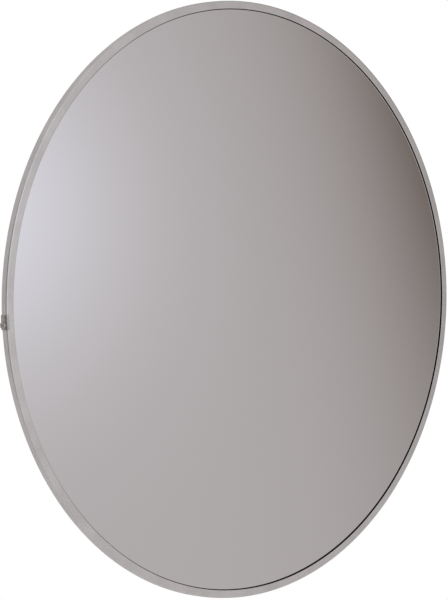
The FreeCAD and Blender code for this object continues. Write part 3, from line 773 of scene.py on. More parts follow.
def place_group(graph: Graph, tree: bpy.types.NodeTree, inputs: dict[str, object]) -> bpy.types.Node:
    """Put an effect group in a material.

    Args:
        graph: the material's graph.
        tree: the effect's node group.
        inputs: a socket or a value for each of its inputs.

    Returns:
        The group's node.
    """
    made = graph.node("ShaderNodeGroup", node_tree=tree)
    for name, value in inputs.items():
        if isinstance(value, bpy.types.NodeSocket):
            graph.tree.links.new(value, made.inputs[name])
        else:
            made.inputs[name].default_value = value
    return made


def join_input(graph: Graph, shader: bpy.types.Node, name: str, value: Socket) -> None:
    """Link a socket to one of the shader's inputs."""
    graph.tree.links.new(value, shader.inputs[name])


# ================================================================ finishes
@dataclass(frozen=True)
class MirroredAcrylic:
    """Vacuum-silvered acrylic: a clear mirror with a faint wiping haze, and a painted shadow line round its edge,
    wider towards the lower right.
    """

    name: str = "mirrored_acrylic"
    silver: Colour = (0.93, 0.93, 0.935)
    # Colour of the painted shadow line at the lens's edge, and below it the line's place and width.
    seal_shadow: Colour = (0.05, 0.05, 0.055)
    seal_radius: float = 0.371
    seal_shadow_width: float = 1.5 * MM

    def material(self) -> bpy.types.Material:
        """Build the material.

        Returns:
            The finished material.
        """
        material, graph, shader, place = new_material(self.name)
        shader.inputs["Metallic"].default_value = 1.0
        split = graph.node("ShaderNodeSeparateXYZ", {"Vector": place})
        flat = graph.node("ShaderNodeCombineXYZ", {"X": split.outputs["X"], "Y": split.outputs["Z"]}).outputs[0]
        radius = graph.vector("LENGTH", flat).outputs["Value"]
        # Painted shadow: the base colour darkens in a thin line just inside the gasket's edge, wider towards the
        # lower right.
        lower_right = graph.vector("DOT_PRODUCT", graph.vector("NORMALIZE", flat).outputs[0],
                                   (0.72, -0.69, 0.0)).outputs["Value"]
        wide = graph.ramp(lower_right, 0.5, 1.0, self.seal_radius - self.seal_shadow_width,
                          self.seal_radius - 1.8 * self.seal_shadow_width)
        start = graph.math("ADD", wide, 0.7 * MM)
        line = graph.node("ShaderNodeMapRange", {"Value": radius, "From Min": wide, "From Max": start},
                          interpolation_type="SMOOTHSTEP").outputs["Result"]
        join_input(graph, shader, "Base Color", graph.blend(line, self.silver, self.seal_shadow))
        weather = place_group(graph, EFFECTS.weather, {"Vector": place, "Patch": 9.0, "Dust": 0.25})
        wiped = graph.ramp(weather.outputs["Stain"], 0.35, 0.75, 0.035, 0.055)
        dusty = graph.math("MULTIPLY_ADD", weather.outputs["Dust"], 0.12, wiped)
        join_input(graph, shader, "Roughness", dusty)
        join_input(graph, shader, "Normal", graph.bump(graph.noise(place, 5.0, 1.0), 0.02 * MM, 0.5))
        return material


@dataclass(frozen=True)
class RolledAluminium:
    """Mill-finish aluminium strip, drawn lengthwise and rolled round the mirror, a little weathered."""

    name: str = "rolled_aluminium"
    colour: Colour = (0.91, 0.91, 0.90)
    dull: Colour = (0.79, 0.79, 0.78)
    metallic: float = 0.85
    rough: tuple[float, float] = (0.12, 0.20)

    def material(self) -> bpy.types.Material:
        """Build the material.

        Returns:
            The finished material.
        """
        material, graph, shader, place = new_material(self.name)
        shader.inputs["Metallic"].default_value = self.metallic
        lay = graph.node("ShaderNodeUVMap", uv_map="lay").outputs["UV"]
        drawn = place_group(graph, EFFECTS.drawn, {"Vector": lay, "Fine": 3200.0, "Stretch": 0.006})
        weather = place_group(graph, EFFECTS.weather, {"Vector": place, "Patch": 26.0, "Dust": 0.35})
        worn = place_group(graph, EFFECTS.worn_edge, {"Vector": place, "Amount": 0.5})
        tone = graph.ramp(weather.outputs["Stain"], 0.3, 0.72)
        base = graph.blend(tone, self.colour, self.dull)
        lined = graph.blend(graph.ramp(drawn.outputs["Lines"], 0.35, 0.75, 0.0, 0.22), base, self.dull)
        bright = graph.blend(worn.outputs["Worn"], lined, (0.97, 0.97, 0.96))
        dusted = graph.blend(graph.math("MULTIPLY", weather.outputs["Dust"], 0.5), bright, (0.50, 0.49, 0.46))
        join_input(graph, shader, "Base Color", dusted)
        gloss = graph.ramp(drawn.outputs["Bands"], 0.3, 0.7, *self.rough)
        soiled = graph.math("MULTIPLY_ADD", weather.outputs["Dust"], 0.3, gloss)
        join_input(graph, shader, "Roughness", soiled)
        shape = graph.math("MULTIPLY_ADD", drawn.outputs["Bands"], 0.6, drawn.outputs["Lines"])
        join_input(graph, shader, "Normal", graph.bump(shape, 0.006 * MM))
        return material


@dataclass(frozen=True)
class Galvanised:
    """Hot-dipped zinc on steel: crystals, cloudy bloom, brighter rubbed edges and dust."""

    name: str
    colour: Colour = (0.50, 0.52, 0.535)
    bloom: Colour = (0.36, 0.375, 0.385)
    cells: float = 90.0
    contrast: float = 0.5
    rough: tuple[float, float] = (0.36, 0.52)
    lumps: float = 0.05 * MM
    metallic: float = 0.72

    def material(self) -> bpy.types.Material:
        """Build the material.

        Returns:
            The finished material.
        """
        material, graph, shader, place = new_material(self.name)
        shader.inputs["Metallic"].default_value = self.metallic
        zinc = place_group(graph, EFFECTS.spangle, {"Vector": place, "Cells": self.cells})
        weather = place_group(graph, EFFECTS.weather, {"Vector": place, "Patch": 14.0, "Dust": 0.6})
        worn = place_group(graph, EFFECTS.worn_edge, {"Vector": place, "Amount": 0.7})
        crystal = graph.math("MULTIPLY", zinc.outputs["Shade"], self.contrast)
        base = graph.blend(crystal, self.colour, self.bloom)
        clouded = graph.blend(graph.ramp(weather.outputs["Stain"], 0.42, 0.75, 0.0, 0.6), base, self.bloom)
        rubbed = graph.blend(worn.outputs["Worn"], clouded, (0.68, 0.69, 0.70))
        dusted = graph.blend(weather.outputs["Dust"], rubbed, (0.40, 0.39, 0.36))
        join_input(graph, shader, "Base Color", dusted)
        gloss = graph.ramp(zinc.outputs["Shade"], 0.0, 1.0, *self.rough)
        join_input(graph, shader, "Roughness", graph.math("MULTIPLY_ADD", weather.outputs["Dust"], 0.3, gloss))
        fine = graph.math("MULTIPLY_ADD", zinc.outputs["Feather"], 0.15, graph.noise(place, 130.0, 4.0))
        join_input(graph, shader, "Normal", graph.bump(fine, self.lumps))
        return material


@dataclass(frozen=True)
class TurnedMetal:
    """Turned, drawn or plated metal: fine marks, cloudy tarnish and bright edges."""

    name: str
    colour: Colour
    tarnish: Colour
    rough: tuple[float, float] = (0.22, 0.40)
    marks: float = 0.008 * MM

    def material(self) -> bpy.types.Material:
        """Build the material.

        Returns:
            The finished material.
        """
        material, graph, shader, place = new_material(self.name)
        shader.inputs["Metallic"].default_value = 1.0
        turned = graph.node("ShaderNodeVectorRotate", {"Vector": place, "Angle": math.pi / 2},
                            rotation_type="Z_AXIS").outputs["Vector"]
        drawn = place_group(graph, EFFECTS.drawn, {"Vector": turned, "Fine": 2400.0, "Stretch": 0.03})
        weather = place_group(graph, EFFECTS.weather, {"Vector": place, "Patch": 70.0, "Dust": 0.5})
        worn = place_group(graph, EFFECTS.worn_edge, {"Vector": place, "Amount": 0.8})
        dulled = graph.blend(graph.ramp(weather.outputs["Stain"], 0.35, 0.7), self.colour, self.tarnish)
        lined = graph.blend(graph.ramp(drawn.outputs["Lines"], 0.4, 0.8, 0.0, 0.3), dulled, self.tarnish)
        light = tuple(min(1.0, 1.2 * c) for c in self.colour)
        rubbed = graph.blend(worn.outputs["Worn"], lined, light)
        dusted = graph.blend(weather.outputs["Dust"], rubbed, (0.38, 0.36, 0.33))
        join_input(graph, shader, "Base Color", dusted)
        gloss = graph.ramp(weather.outputs["Stain"], 0.3, 0.7, *self.rough)
        join_input(graph, shader, "Roughness", graph.math("MULTIPLY_ADD", weather.outputs["Dust"], 0.3, gloss))
        join_input(graph, shader, "Normal", graph.bump(drawn.outputs["Lines"], self.marks))
        return material


@dataclass(frozen=True)
class Moulded:
    """Moulded rubber, foam, nylon or epoxy-coated casting: fine texture, dust and scuffed edges."""

    name: str
    colour: Colour
    scuffed: Colour
    rough: tuple[float, float] = (0.45, 0.62)
    grain: float = 900.0
    depth: float = 0.03 * MM
    dust: float = 0.6

    def material(self) -> bpy.types.Material:
        """Build the material.

        Returns:
            The finished material.
        """
        material, graph, shader, place = new_material(self.name)
        weather = place_group(graph, EFFECTS.weather, {"Vector": place, "Patch": 55.0, "Dust": self.dust})
        worn = place_group(graph, EFFECTS.worn_edge, {"Vector": place, "Amount": 0.6})
        tone = graph.ramp(weather.outputs["Stain"], 0.3, 0.8, 0.0, 0.35)
        base = graph.blend(tone, self.colour, self.scuffed)
        scuffed = graph.blend(worn.outputs["Worn"], base, self.scuffed)
        dusted = graph.blend(graph.math("MULTIPLY", weather.outputs["Dust"], 0.6), scuffed, (0.34, 0.32, 0.29))
        join_input(graph, shader, "Base Color", dusted)
        gloss = graph.ramp(weather.outputs["Stain"], 0.3, 0.75, *self.rough)
        join_input(graph, shader, "Roughness", gloss)
        join_input(graph, shader, "Normal", graph.bump(graph.noise(place, self.grain, 3.0, 0.6), self.depth))
        return material


class Shop:
    """Every finish, made once, and the record's slot that each stands for."""

    def __init__(self) -> None:
        """Build the materials."""
        finishes = {
            "lens_mirror": MirroredAcrylic(),
            "rim_aluminium": RolledAluminium(),
            "saddle_steel": TurnedMetal("tarnished_stainless", (0.74, 0.73, 0.72), (0.46, 0.45, 0.44)),
            "gasket_black": Moulded("black_weather_strip", (0.016, 0.016, 0.017), (0.05, 0.05, 0.05)),
            "seal_foam": Moulded("closed_cell_foam", (0.05, 0.05, 0.05), (0.09, 0.09, 0.09), (0.8, 0.95), 1500.0,
                                 0.12 * MM),
            "pan_galvanised": Galvanised("spangled_sheet", (0.66, 0.68, 0.69), (0.46, 0.48, 0.49), 120.0, 0.5,
                                         (0.26, 0.44), 0.02 * MM),
            "bracket_galvanised": Galvanised("hot_dipped_plate", (0.47, 0.49, 0.50), (0.34, 0.355, 0.365), 170.0,
                                             0.4, (0.40, 0.56), 0.09 * MM),
            "tube_zinc": TurnedMetal("plated_tube", (0.66, 0.67, 0.68), (0.48, 0.49, 0.50), (0.20, 0.36)),
            "fastener_zinc": TurnedMetal("passivated_zinc", (0.64, 0.635, 0.58), (0.42, 0.41, 0.37), (0.24, 0.42)),
            "knuckle_cast": Moulded("epoxy_on_casting", (0.060, 0.062, 0.066), (0.17, 0.17, 0.17), (0.34, 0.52),
                                    420.0, 0.16 * MM),
            "bush_bronze": TurnedMetal("sintered_bronze", (0.62, 0.40, 0.18), (0.36, 0.22, 0.10), (0.34, 0.5)),
            "pad_brass": TurnedMetal("turned_brass", (0.78, 0.57, 0.24), (0.50, 0.35, 0.15)),
            "nylon_black": Moulded("black_nylon", (0.022, 0.022, 0.023), (0.075, 0.075, 0.075), (0.38, 0.55), 1300.0,
                                   0.02 * MM),
            "nylon_natural": Moulded("natural_nylon", (0.74, 0.70, 0.60), (0.60, 0.56, 0.47), (0.35, 0.5), 1300.0,
                                     0.02 * MM, 0.3),
        }
        self.materials = {slot: finish.material() for slot, finish in finishes.items()}

    def dress(self, piece: bpy.types.Object, slot: str) -> None:
        """Give a piece one finish."""
        piece.data.materials.clear()
        piece.data.materials.append(self.materials[slot])

    def dress_nodes(self) -> None:
        """Give every CAD node the finish of its own slot."""
        for entry in frame["record"]["subparts"]:
            node = frame["nodes"][entry["node"]]
            for holder in node.material_slots:
                holder.material = self.materials[entry["material_slot"]]


class SubAssembly:
    """What every sub-assembly shares: a body to ride on and a shop to be dressed in."""

    body = "mirror_head"

    def __init__(self, shop: Shop) -> None:
        """Keep the shop."""
        self.shop = shop

    def fit(self, piece: bpy.types.Object, slot: str, *nodes: str, body: str | None = None) -> bpy.types.Object:
        """Dress a piece, say which CAD nodes it stands for, and let it ride on its body.

        Args:
            piece: the finished piece.
            slot: the record's material slot.
            nodes: the CAD nodes that it replaces.
            body: the body, if not the sub-assembly's own.

        Returns:
            The piece.
        """
        self.shop.dress(piece, slot)
        if nodes:
            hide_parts(*nodes)
        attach(piece, body or self.body)
        LOG.info("%-24s %7d faces on %s", piece.name, len(piece.data.polygons), body or self.body)
        return piece


# ================================================================ mirror
@dataclass
class RimRing(SubAssembly):
    """The split channel with its saddle, screw and rivet, and the black strip inside it."""

    shop: Shop
    sheet: float = 0.9 * MM
    bend: float = 1.1 * MM
    slope: float = math.radians(6.5)
    saddle_sheet: float = 1.2 * MM
    saddle_wrap: float = 2.6 * MM
    saddle_length: float = 18 * MM
    screw_at: float = -3.4 * MM
    rivet_at: float = 5.4 * MM
    split_at: float = 1.8 * MM
    gap: float = 0.15 * MM
    columns: int = 720
    ring: Extent = field(default_factory=lambda: Extent.of("rim_channel"))
    clip: Extent = field(default_factory=lambda: Extent.of("rim_saddle"))

    def __post_init__(self) -> None:
        """Read the ring's sizes from its box."""
        self.radius = self.ring.high.z
        self.rear = self.ring.rear
        self.width = 10 * MM
        self.edge = self.ring.front - self.width * math.tan(self.slope)
        self.middle = (self.rear + self.edge) / 2
        middle = self.clip.centre
        self.angle = math.atan2(middle[2], middle[0]) % TURN

    def flange_out(self, radius: float, grow: float = 0.0) -> float:
        """How far out the front flange stands at a radius."""
        return self.edge + (self.radius - radius) * math.tan(self.slope) + grow / math.cos(self.slope)

    def channel_path(self, lip: float, grow: float = 0.0) -> np.ndarray:
        """The outside of the channel's section from its rear lip to its front lip, grown outwards."""
        outer = self.radius + grow
        return np.array([[lip, self.rear - grow], [outer, self.rear - grow],
                         [outer, self.flange_out(outer, grow)], [lip, self.flange_out(lip, grow)]])

    def sweep(self, low: float, high: float) -> tuple[float, float]:
        """The angles between two heights above the saddle's middle, where height is length along the rim."""
        return self.angle - high / self.radius, self.angle - low / self.radius

    def facing(self, height: float) -> tuple[np.ndarray, np.ndarray]:
        """Where a fastener's axis leaves the rim, and the directions out of and along the rim there."""
        angle = self.angle - height / self.radius
        outward = np.array([math.cos(angle), 0, math.sin(angle)])
        along = np.array([math.sin(angle), 0, -math.cos(angle)])
        return outward, along

    def build(self) -> None:
        """Build and dress every piece."""
        self.build_channel()
        self.build_gasket()
        self.build_saddle()
        self.build_screw()
        self.build_rivet()

    def build_channel(self) -> None:
        """The rolled channel, finely stepped so that its long reflections stay smooth."""
        lip = self.radius - self.width
        section = refined(sheet_outline(self.channel_path(lip), self.sheet, self.bend, 8), 1.6 * MM)
        start = self.sweep(self.split_at - self.gap / 2, self.split_at + self.gap / 2)
        channel = turned_ring("rim_channel_finished", section, self.columns, (start[1], start[0] + TURN))
        self.fit(channel, "rim_aluminium", "rim_channel")

    def build_gasket(self) -> None:
        """The strip between the flange and the lens, whose lip shows as a soft rounded edge."""
        node = Extent.of("front_gasket")
        outer, front, rear = node.high.z, node.front, node.rear
        inner = self.radius - self.width + 0.3 * MM
        under = self.flange_out(inner, -self.sheet) - 1.02 * MM
        section = np.array([[inner, under], [inner + 2.7 * MM, rear + 0.25 * MM], [inner + 5.6 * MM, rear],
                            [outer, rear], [outer, self.flange_out(outer, -self.sheet) - 0.02 * MM],
                            [inner, min(front, self.flange_out(inner, -self.sheet)) - 0.02 * MM]])
        section = rounded_outline(section, np.array([0.35, 0, 0, 0.1, 0.1, 0.35]) * MM, 4)
        self.fit(turned_ring("gasket_finished", section, 360), "gasket_black", "front_gasket")

    def build_saddle(self) -> None:
        """The clip over the split, its corners wrapped round the channel and its ends softened."""
        path = self.channel_path(self.radius - self.saddle_wrap, self.rear - self.clip.rear)
        section = sheet_outline(path, self.saddle_sheet, self.bend + self.sheet, 8)
        half = self.saddle_length / 2
        strip = turned_ring("saddle_finished", section, 12, self.sweep(-half, half))
        self.fit(strip, "saddle_steel", "rim_saddle")

    def build_screw(self) -> None:
        """A pan head with a cross recess, seated on the saddle."""
        self._head("rim_screw", self.screw_at, 4.5 * MM, 1.4 * MM, 2.6 * MM, recess=True)

    def build_rivet(self) -> None:
        """A low domed rivet head."""
        self._head("rim_rivet", self.rivet_at, 3.2 * MM, 0.8 * MM, 1.1 * MM, recess=False)

    def _head(self, node: str, height: float, radius: float, ease: float, tall: float, recess: bool) -> None:
        """One fastener's head and shank, turned about an axis that points out of the rim.

        Args:
            node: the CAD node that it replaces.
            height: its middle's height above the saddle's middle.
            radius: the head's radius.
            ease: the rounding of the head's shoulder.
            tall: the head's height.
            recess: whether it has a cross recess.
        """
        seat = self.radius + self.saddle_sheet + 0.06 * MM
        turn = np.linspace(0, math.pi / 2, 7)
        shoulder = np.stack([radius - ease + ease * np.cos(turn), tall - ease + ease * np.sin(turn)], 1)
        crown = np.linspace(1, 0, 6)[1:, None] * np.array([[radius - ease, 0]]) + np.array([[0, tall]])
        profile = np.vstack([[[0, -3 * MM]], [[0.55 * radius, -3 * MM]], [[0.55 * radius, 0]], [[radius, 0]],
                             shoulder, crown])
        outward, along = self.facing(height)
        side = np.cross(outward, along)
        angles = np.arange(48) / 48 * TURN
        arm = np.cos(angles)[:, None] * along + np.sin(angles)[:, None] * side
        base = np.array([0, -self.middle, 0]) + outward * seat
        points = profile[:, 0, None, None] * arm + profile[:, 1, None, None] * outward + base
        lay = np.stack(np.broadcast_arrays(angles[None] * radius, profile[:, 1:2]), -1).reshape(-1, 2)
        faces = ring_grid(len(profile), 48, False, True)
        head = make_piece(f"{node}_finished", points.reshape(-1, 3), faces, lay)
        if recess:
            head = pierced(head, [self._cross(base, outward, along, side, tall)])
        self.fit(head, "saddle_steel", node)

    @staticmethod
    def _cross(base: np.ndarray, outward: np.ndarray, along: np.ndarray, side: np.ndarray,
               tall: float) -> bpy.types.Object:
        """A cutter shaped like a screwdriver's cross point, narrowing inwards.

        Args:
            base: the middle of the head's seat.
            outward: the direction out of the rim.
            along: one direction across the head.
            side: the other direction across it.
            tall: the head's height.

        Returns:
            The cutter.
        """
        outline = []
        for quarter in range(4):
            turn = quarter * math.pi / 2 + 0.3
            arms = np.array([[2.3, -0.5], [2.3, 0.5], [0.7, 0.7]]) * MM
            spin = np.array([[math.cos(turn), math.sin(turn)], [-math.sin(turn), math.cos(turn)]])
            outline.append(arms @ spin)
        cross = np.concatenate(outline)
        levels = np.array([[1.08, tall + 0.6 * MM], [1.0, tall], [0.62, tall - 1.5 * MM]])
        points = [base + (cross[:, :1] * along + cross[:, 1:] * side) * scale + outward * level
                  for scale, level in levels]
        rows, count = len(levels), len(cross)
        caps = (np.arange(count)[::-1], (rows - 1) * count + np.arange(count))
        return make_piece("cross_cutter", np.concatenate(points), ring_grid(rows, count, False, True), None, caps)


@dataclass
class MirrorHead(SubAssembly):
    """The lens, the pressed back pan, and the bolts and plates behind it."""

    shop: Shop
    sheet: float = 1.0 * MM
    bend: float = 2.5 * MM
    lens_sheet: float = 3.2 * MM
    foot: float = 22 * MM
    slope: float = math.radians(15.4)
    beads: tuple[float, float] = (150 * MM, 262 * MM)
    bead_width: float = 22 * MM
    bead_flank: float = 6 * MM
    pan: Extent = field(default_factory=lambda: Extent.of("back_pan"))
    lens: Extent = field(default_factory=lambda: Extent.of("mirror_lens"))

    def build(self) -> None:
        """Build and dress every piece."""
        self.build_lens()
        self.build_pan()
        self.build_bolts()
        for node in ("mirror_flange", "spreader_plate", "tilt_clevis"):
            self.fit(softened_copy(node, 0.6 * MM), "bracket_galvanised")
        self.fit(softened_copy("flange_pad", 0.3 * MM), "gasket_black")
        self.build_welds()

    def build_lens(self) -> None:
        """The dome as rings from the middle out, over the foot and round to its back.

        A ring on the dome at slope a has radius R sin a and stands R cos a in front of the sphere's
        centre; a ring on the foot at slope a has radius F - f sin a, f cos a behind the foot's centre.
        """
        node = self.lens
        rear, apex, edge = node.rear, node.front, node.high.x
        lip = rear + self.lens_sheet
        rise = self.foot * (1 - math.cos(self.slope))
        start = lip + rise
        radius = (apex - start) / (1 - math.cos(self.slope))
        reach, centre = radius * math.sin(self.slope), apex - radius
        foot = reach + self.foot * math.sin(self.slope)
        dome = np.linspace(0, self.slope, 161)
        hollow = np.linspace(self.slope, 0, 14)[1:]
        outside = np.vstack([np.stack([radius * np.sin(dome), centre + radius * np.cos(dome)], 1),
                             np.stack([foot - self.foot * np.sin(hollow),
                                       lip + self.foot - self.foot * np.cos(hollow)], 1),
                             [[edge, lip]]])
        back = self.foot + self.lens_sheet
        inner = radius - self.lens_sheet
        dome, hollow = dome[::-8], hollow[::-3]
        inside = np.vstack([[[edge, rear]],
                            np.stack([foot - back * np.sin(hollow), lip + self.foot - back * np.cos(hollow)], 1),
                            np.stack([inner * np.sin(dome), centre + inner * np.cos(dome)], 1)])
        section = np.vstack([outside, inside])
        middle = np.array([0.0, 0.0, 0.0])
        lens = turned_solid("lens_finished", section[:, 1], section[:, 0], Axis.FORWARD, middle, 360)
        self.fit(lens, "lens_mirror", "mirror_lens")

    def build_pan(self) -> None:
        """The pan's pressed section carried round, then pierced for its weep holes and bolts."""
        rear, edge, low = self.pan.rear, self.pan.high.x, self.pan.size[1]
        flat = rear + (264 - 246) * MM - 14 * MM
        path = [(0.0, flat)]
        for start in self.beads:
            path += [(start, flat), (start + self.bead_flank, rear),
                     (start + self.bead_width - self.bead_flank, rear), (start + self.bead_width, flat)]
        lip = rear + low - self.sheet
        path += [(336 * MM, flat), (350 * MM, lip), (edge, lip)]
        section = sheet_outline(np.array(path), self.sheet, self.bend, 5)
        section[:, 0] = np.maximum(section[:, 0], 0)
        section = refined(section, 14 * MM)
        pan = turned_ring("pan_finished", section, 300)
        holes = [(318 * MM * math.cos(math.radians(a)), 318 * MM * math.sin(math.radians(a)), 3 * MM)
                 for a in (250, 270, 290)]
        holes += [(x * 40 * MM, z * 40 * MM, 4.25 * MM) for x in (-1, 1) for z in (-1, 1)]
        cutters = [self._drill(x, z, radius, flat) for x, z, radius in holes]
        self.fit(pierced(pan, cutters), "pan_galvanised", "back_pan")

    @staticmethod
    def _drill(x: float, z: float, radius: float, out: float) -> bpy.types.Object:
        """A rod through the pan's sheet."""
        ends = np.array([out - 4 * MM, out - 4 * MM, out + 6 * MM, out + 6 * MM])
        return turned_solid("drill", ends, np.array([0, radius, radius, 0]), Axis.FORWARD,
                            np.array([x, 0, z]), 24)

    def build_bolts(self) -> None:
        """Four carriage bolts, domed inside the pan and threaded behind the flange, with flange nuts."""
        bolts, seat = Extent.of("flange_bolts"), Extent.of("mirror_flange").rear
        rear, head = bolts.rear, bolts.front - 4.4 * MM
        turn = np.linspace(0, math.pi / 2, 8)
        dome = np.stack([head + 0.5 * MM + 3.9 * MM * np.sin(turn), 6.1 * MM + 3.9 * MM * np.cos(turn)], 1)
        bolt = (Rings.round((rear, 0), (rear, 2.9 * MM)) + Rings.thread(4 * MM, 1.25 * MM, rear + 0.2 * MM,
                                                                     rear + 17 * MM)
                + Rings.round((rear + 17.2 * MM, 3.95 * MM), (head - 2.98 * MM, 3.95 * MM))
                + Rings.square(4 * MM, head - 2.98 * MM, head)
                + Rings.round((head, 10 * MM), *dome, (bolts.front, 0)))
        nut = (Rings.round((-seat, 4.02 * MM), (-seat, 9.2 * MM), (-seat + 1.2 * MM, 9.0 * MM),
                           (-seat + 2.2 * MM, 7.6 * MM))
               + Rings.hexagon(13 * MM, -seat + 2.0 * MM, -seat + 8 * MM)
               + Rings.round((-seat + 8 * MM, 4.6 * MM), (-seat + 7.4 * MM, 4.02 * MM)))
        reach = 40 * MM
        places = [np.array([x, 0, z]) for x in (-reach, reach) for z in (-reach, reach)]
        pieces = [bolt.piece("bolt", Axis.FORWARD, place) for place in places]
        self.fit(joined("flange_bolts_finished", pieces), "fastener_zinc", "flange_bolts")
        pieces = [nut.piece("nut", Axis.BACK, place, bored=True) for place in places]
        self.fit(joined("flange_nuts_finished", pieces), "fastener_zinc", "flange_nuts")

    def build_welds(self) -> None:
        """The beads that hold the clevis's web to the flange."""
        flange, clevis = Extent.of("mirror_flange"), Extent.of("tilt_clevis")
        level, wide, tall = flange.rear - 0.3 * MM, clevis.size[0] / 2 - 9 * MM, clevis.size[2] / 2
        ends = [[np.array([x, -level, side * tall]) for x in (-wide, wide)] for side in (-1, 1)]
        beads = [weld_bead("bead", line_path(*end), Axis.UP, 1.9 * MM, 11 + number, closed=False)
                 for number, end in enumerate(ends)]
        self.fit(joined("clevis_welds", beads), "bracket_galvanised")


# ================================================================ pivots
@dataclass
class Pivots(SubAssembly):
    """Both pivots' bolts, nuts and washers, and the knuckle between them."""

    shop: Shop
    seat: float = 21 * MM
    head: float = 7.5 * MM
    nut: float = 8.5 * MM
    crown: float = 3.5 * MM
    across: float = 18 * MM

    def build(self) -> None:
        """Build and dress every piece."""
        self.fit(softened_copy("knuckle_block", 0.5 * MM), "knuckle_cast", body="knuckle")
        for pivot, body, axis, other in (("pan", "arm", Axis.UP, Axis.DOWN),
                                         ("tilt", "mirror_head", Axis.RIGHT, Axis.LEFT)):
            centre = Extent.of(f"{pivot}_bush").centre
            self.fit(self.make_bolt(pivot, axis, centre), "fastener_zinc", f"{pivot}_bolt", body=body)
            self.fit(self.make_nut(pivot, other, centre), "fastener_zinc", f"{pivot}_nut", body=body)
            self.fit(softened_copy(f"{pivot}_washers", 0.25 * MM), "fastener_zinc", body=body)

    def make_bolt(self, pivot: str, axis: Axis, centre: np.ndarray) -> bpy.types.Object:
        """A hexagon bolt whose threaded end shows past its nut.

        Args:
            pivot: the pivot's name.
            axis: the way from the threaded end to the head.
            centre: the pivot's middle.

        Returns:
            The bolt.
        """
        end, top = -self.seat - self.nut - self.crown - 2 * MM, self.seat + self.head
        rings = (Rings.round((end, 0), (end, 4.7 * MM))
                 + Rings.thread(6 * MM, 1.75 * MM, end + 0.2 * MM, -12 * MM)
                 + Rings.round((-11.8 * MM, 5.98 * MM), (self.seat, 5.98 * MM), (self.seat, 8.3 * MM),
                               (self.seat + 0.4 * MM, 8.3 * MM))
                 + Rings.hexagon(self.across, self.seat + 0.4 * MM, top) + Rings.round((top, 0)))
        return rings.piece(f"{pivot}_bolt_finished", axis, centre)

    def make_nut(self, pivot: str, axis: Axis, centre: np.ndarray) -> bpy.types.Object:
        """A self-locking nut: a hexagon with a round crown turned over a plastic ring.

        Args:
            pivot: the pivot's name.
            axis: the way from the seat to the crown.
            centre: the pivot's middle.

        Returns:
            The nut.
        """
        top = self.seat + self.nut
        turn = np.linspace(0, math.pi / 2, 6)
        crown = np.stack([top + self.crown - 1.4 * MM + 1.4 * MM * np.sin(turn),
                          6.6 * MM + 1.4 * MM * np.cos(turn)], 1)
        rings = (Rings.round((self.seat, 6.02 * MM)) + Rings.hexagon(self.across, self.seat, top)
                 + Rings.round((top, 8 * MM), *crown, (top + self.crown - 0.5 * MM, 6.02 * MM)))
        return rings.piece(f"{pivot}_nut_finished", axis, centre, bored=True)


# ================================================================ arm and wall bracket
@dataclass
class Arm(SubAssembly):
    """The sliding tube, its fork and its stop screw."""

    shop: Shop
    body: str = "arm"

    def build(self) -> None:
        """Build and dress every piece."""
        self.fit(softened_copy("pan_fork", 0.6 * MM), "bracket_galvanised")
        self.fit(softened_copy("inner_tube", 0.4 * MM), "tube_zinc")
        self.fit(softened_copy("stop_screw", 0.2 * MM), "fastener_zinc")
        tube = Extent.of("inner_tube")
        ring = circle_path(tube.size[0] / 2 + 0.6 * MM, Axis.FORWARD, np.array([0, -tube.front + 0.8 * MM, 0]))
        self.fit(weld_bead("fork_weld", ring, Axis.FORWARD, 1.9 * MM, 3), "bracket_galvanised")


@dataclass
class WallBracket(SubAssembly):
    """The wall plate with the sleeve, gussets and clamp boss welded to it, and the sleeve's collar."""

    shop: Shop
    body: str = "wall_bracket"

    def build(self) -> None:
        """Build and dress every piece."""
        for node in ("wall_plate", "sleeve_tube", "gusset_plates", "clamp_boss"):
            self.fit(softened_copy(node, 0.6 * MM), "bracket_galvanised")
        self.fit(softened_copy("sleeve_collar", 0.5 * MM), "nylon_black")
        self.build_welds()

    def build_welds(self) -> None:
        """Beads round the sleeve's foot, round the boss, and down both sides of each gusset."""
        plate, sleeve = Extent.of("wall_plate"), Extent.of("sleeve_tube")
        gusset, boss = Extent.of("gusset_plates"), Extent.of("clamp_boss")
        foot = np.array([0, -plate.front - 0.8 * MM, 0])
        ring = circle_path(sleeve.size[0] / 2 + 0.8 * MM, Axis.FORWARD, foot)
        beads = [weld_bead("bead", ring, Axis.FORWARD, 2.2 * MM, 21)]
        half, top = gusset.size[0] / 2 + 0.5 * MM, gusset.high.z - 3 * MM
        near = sleeve.size[0] / 2 + 3 * MM
        for number, (side, up) in enumerate([(a, b) for a in (-1, 1) for b in (-1, 1)]):
            level = -plate.front - 0.6 * MM
            ends = np.array([side * half, level, up * near]), np.array([side * half, level, up * top])
            beads.append(weld_bead("bead", line_path(*ends), Axis.FORWARD, 1.8 * MM, 30 + number, closed=False))
            height = math.sqrt((sleeve.size[0] / 2) ** 2 - half ** 2) + 0.4 * MM
            ends = (np.array([side * half, -plate.front - 3 * MM, up * height]),
                    np.array([side * half, -gusset.front + 1 * MM, up * height]))
            beads.append(weld_bead("bead", line_path(*ends), Axis.UP, 1.8 * MM, 40 + number, closed=False))
        beads.append(self._boss_bead(sleeve.size[0] / 2, boss))
        self.fit(joined("bracket_welds", beads), "bracket_galvanised")

    @staticmethod
    def _boss_bead(sleeve: float, boss: Extent) -> bpy.types.Object:
        """The saddle-shaped bead where the boss meets the sleeve: x = sqrt(sleeve^2 - z^2) round the boss.

        Args:
            sleeve: the sleeve's radius.
            boss: the clamp boss's box.

        Returns:
            The bead.
        """
        radius = boss.size[2] / 2 + 0.6 * MM
        angles = np.linspace(0, TURN, 120, endpoint=False)
        z = radius * np.sin(angles)
        path = np.stack([np.sqrt(sleeve ** 2 - z ** 2) + 0.5 * MM,
                         boss.centre[1] + radius * np.cos(angles), z], 1)
        return weld_bead("bead", path, Axis.RIGHT, 1.7 * MM, 51)


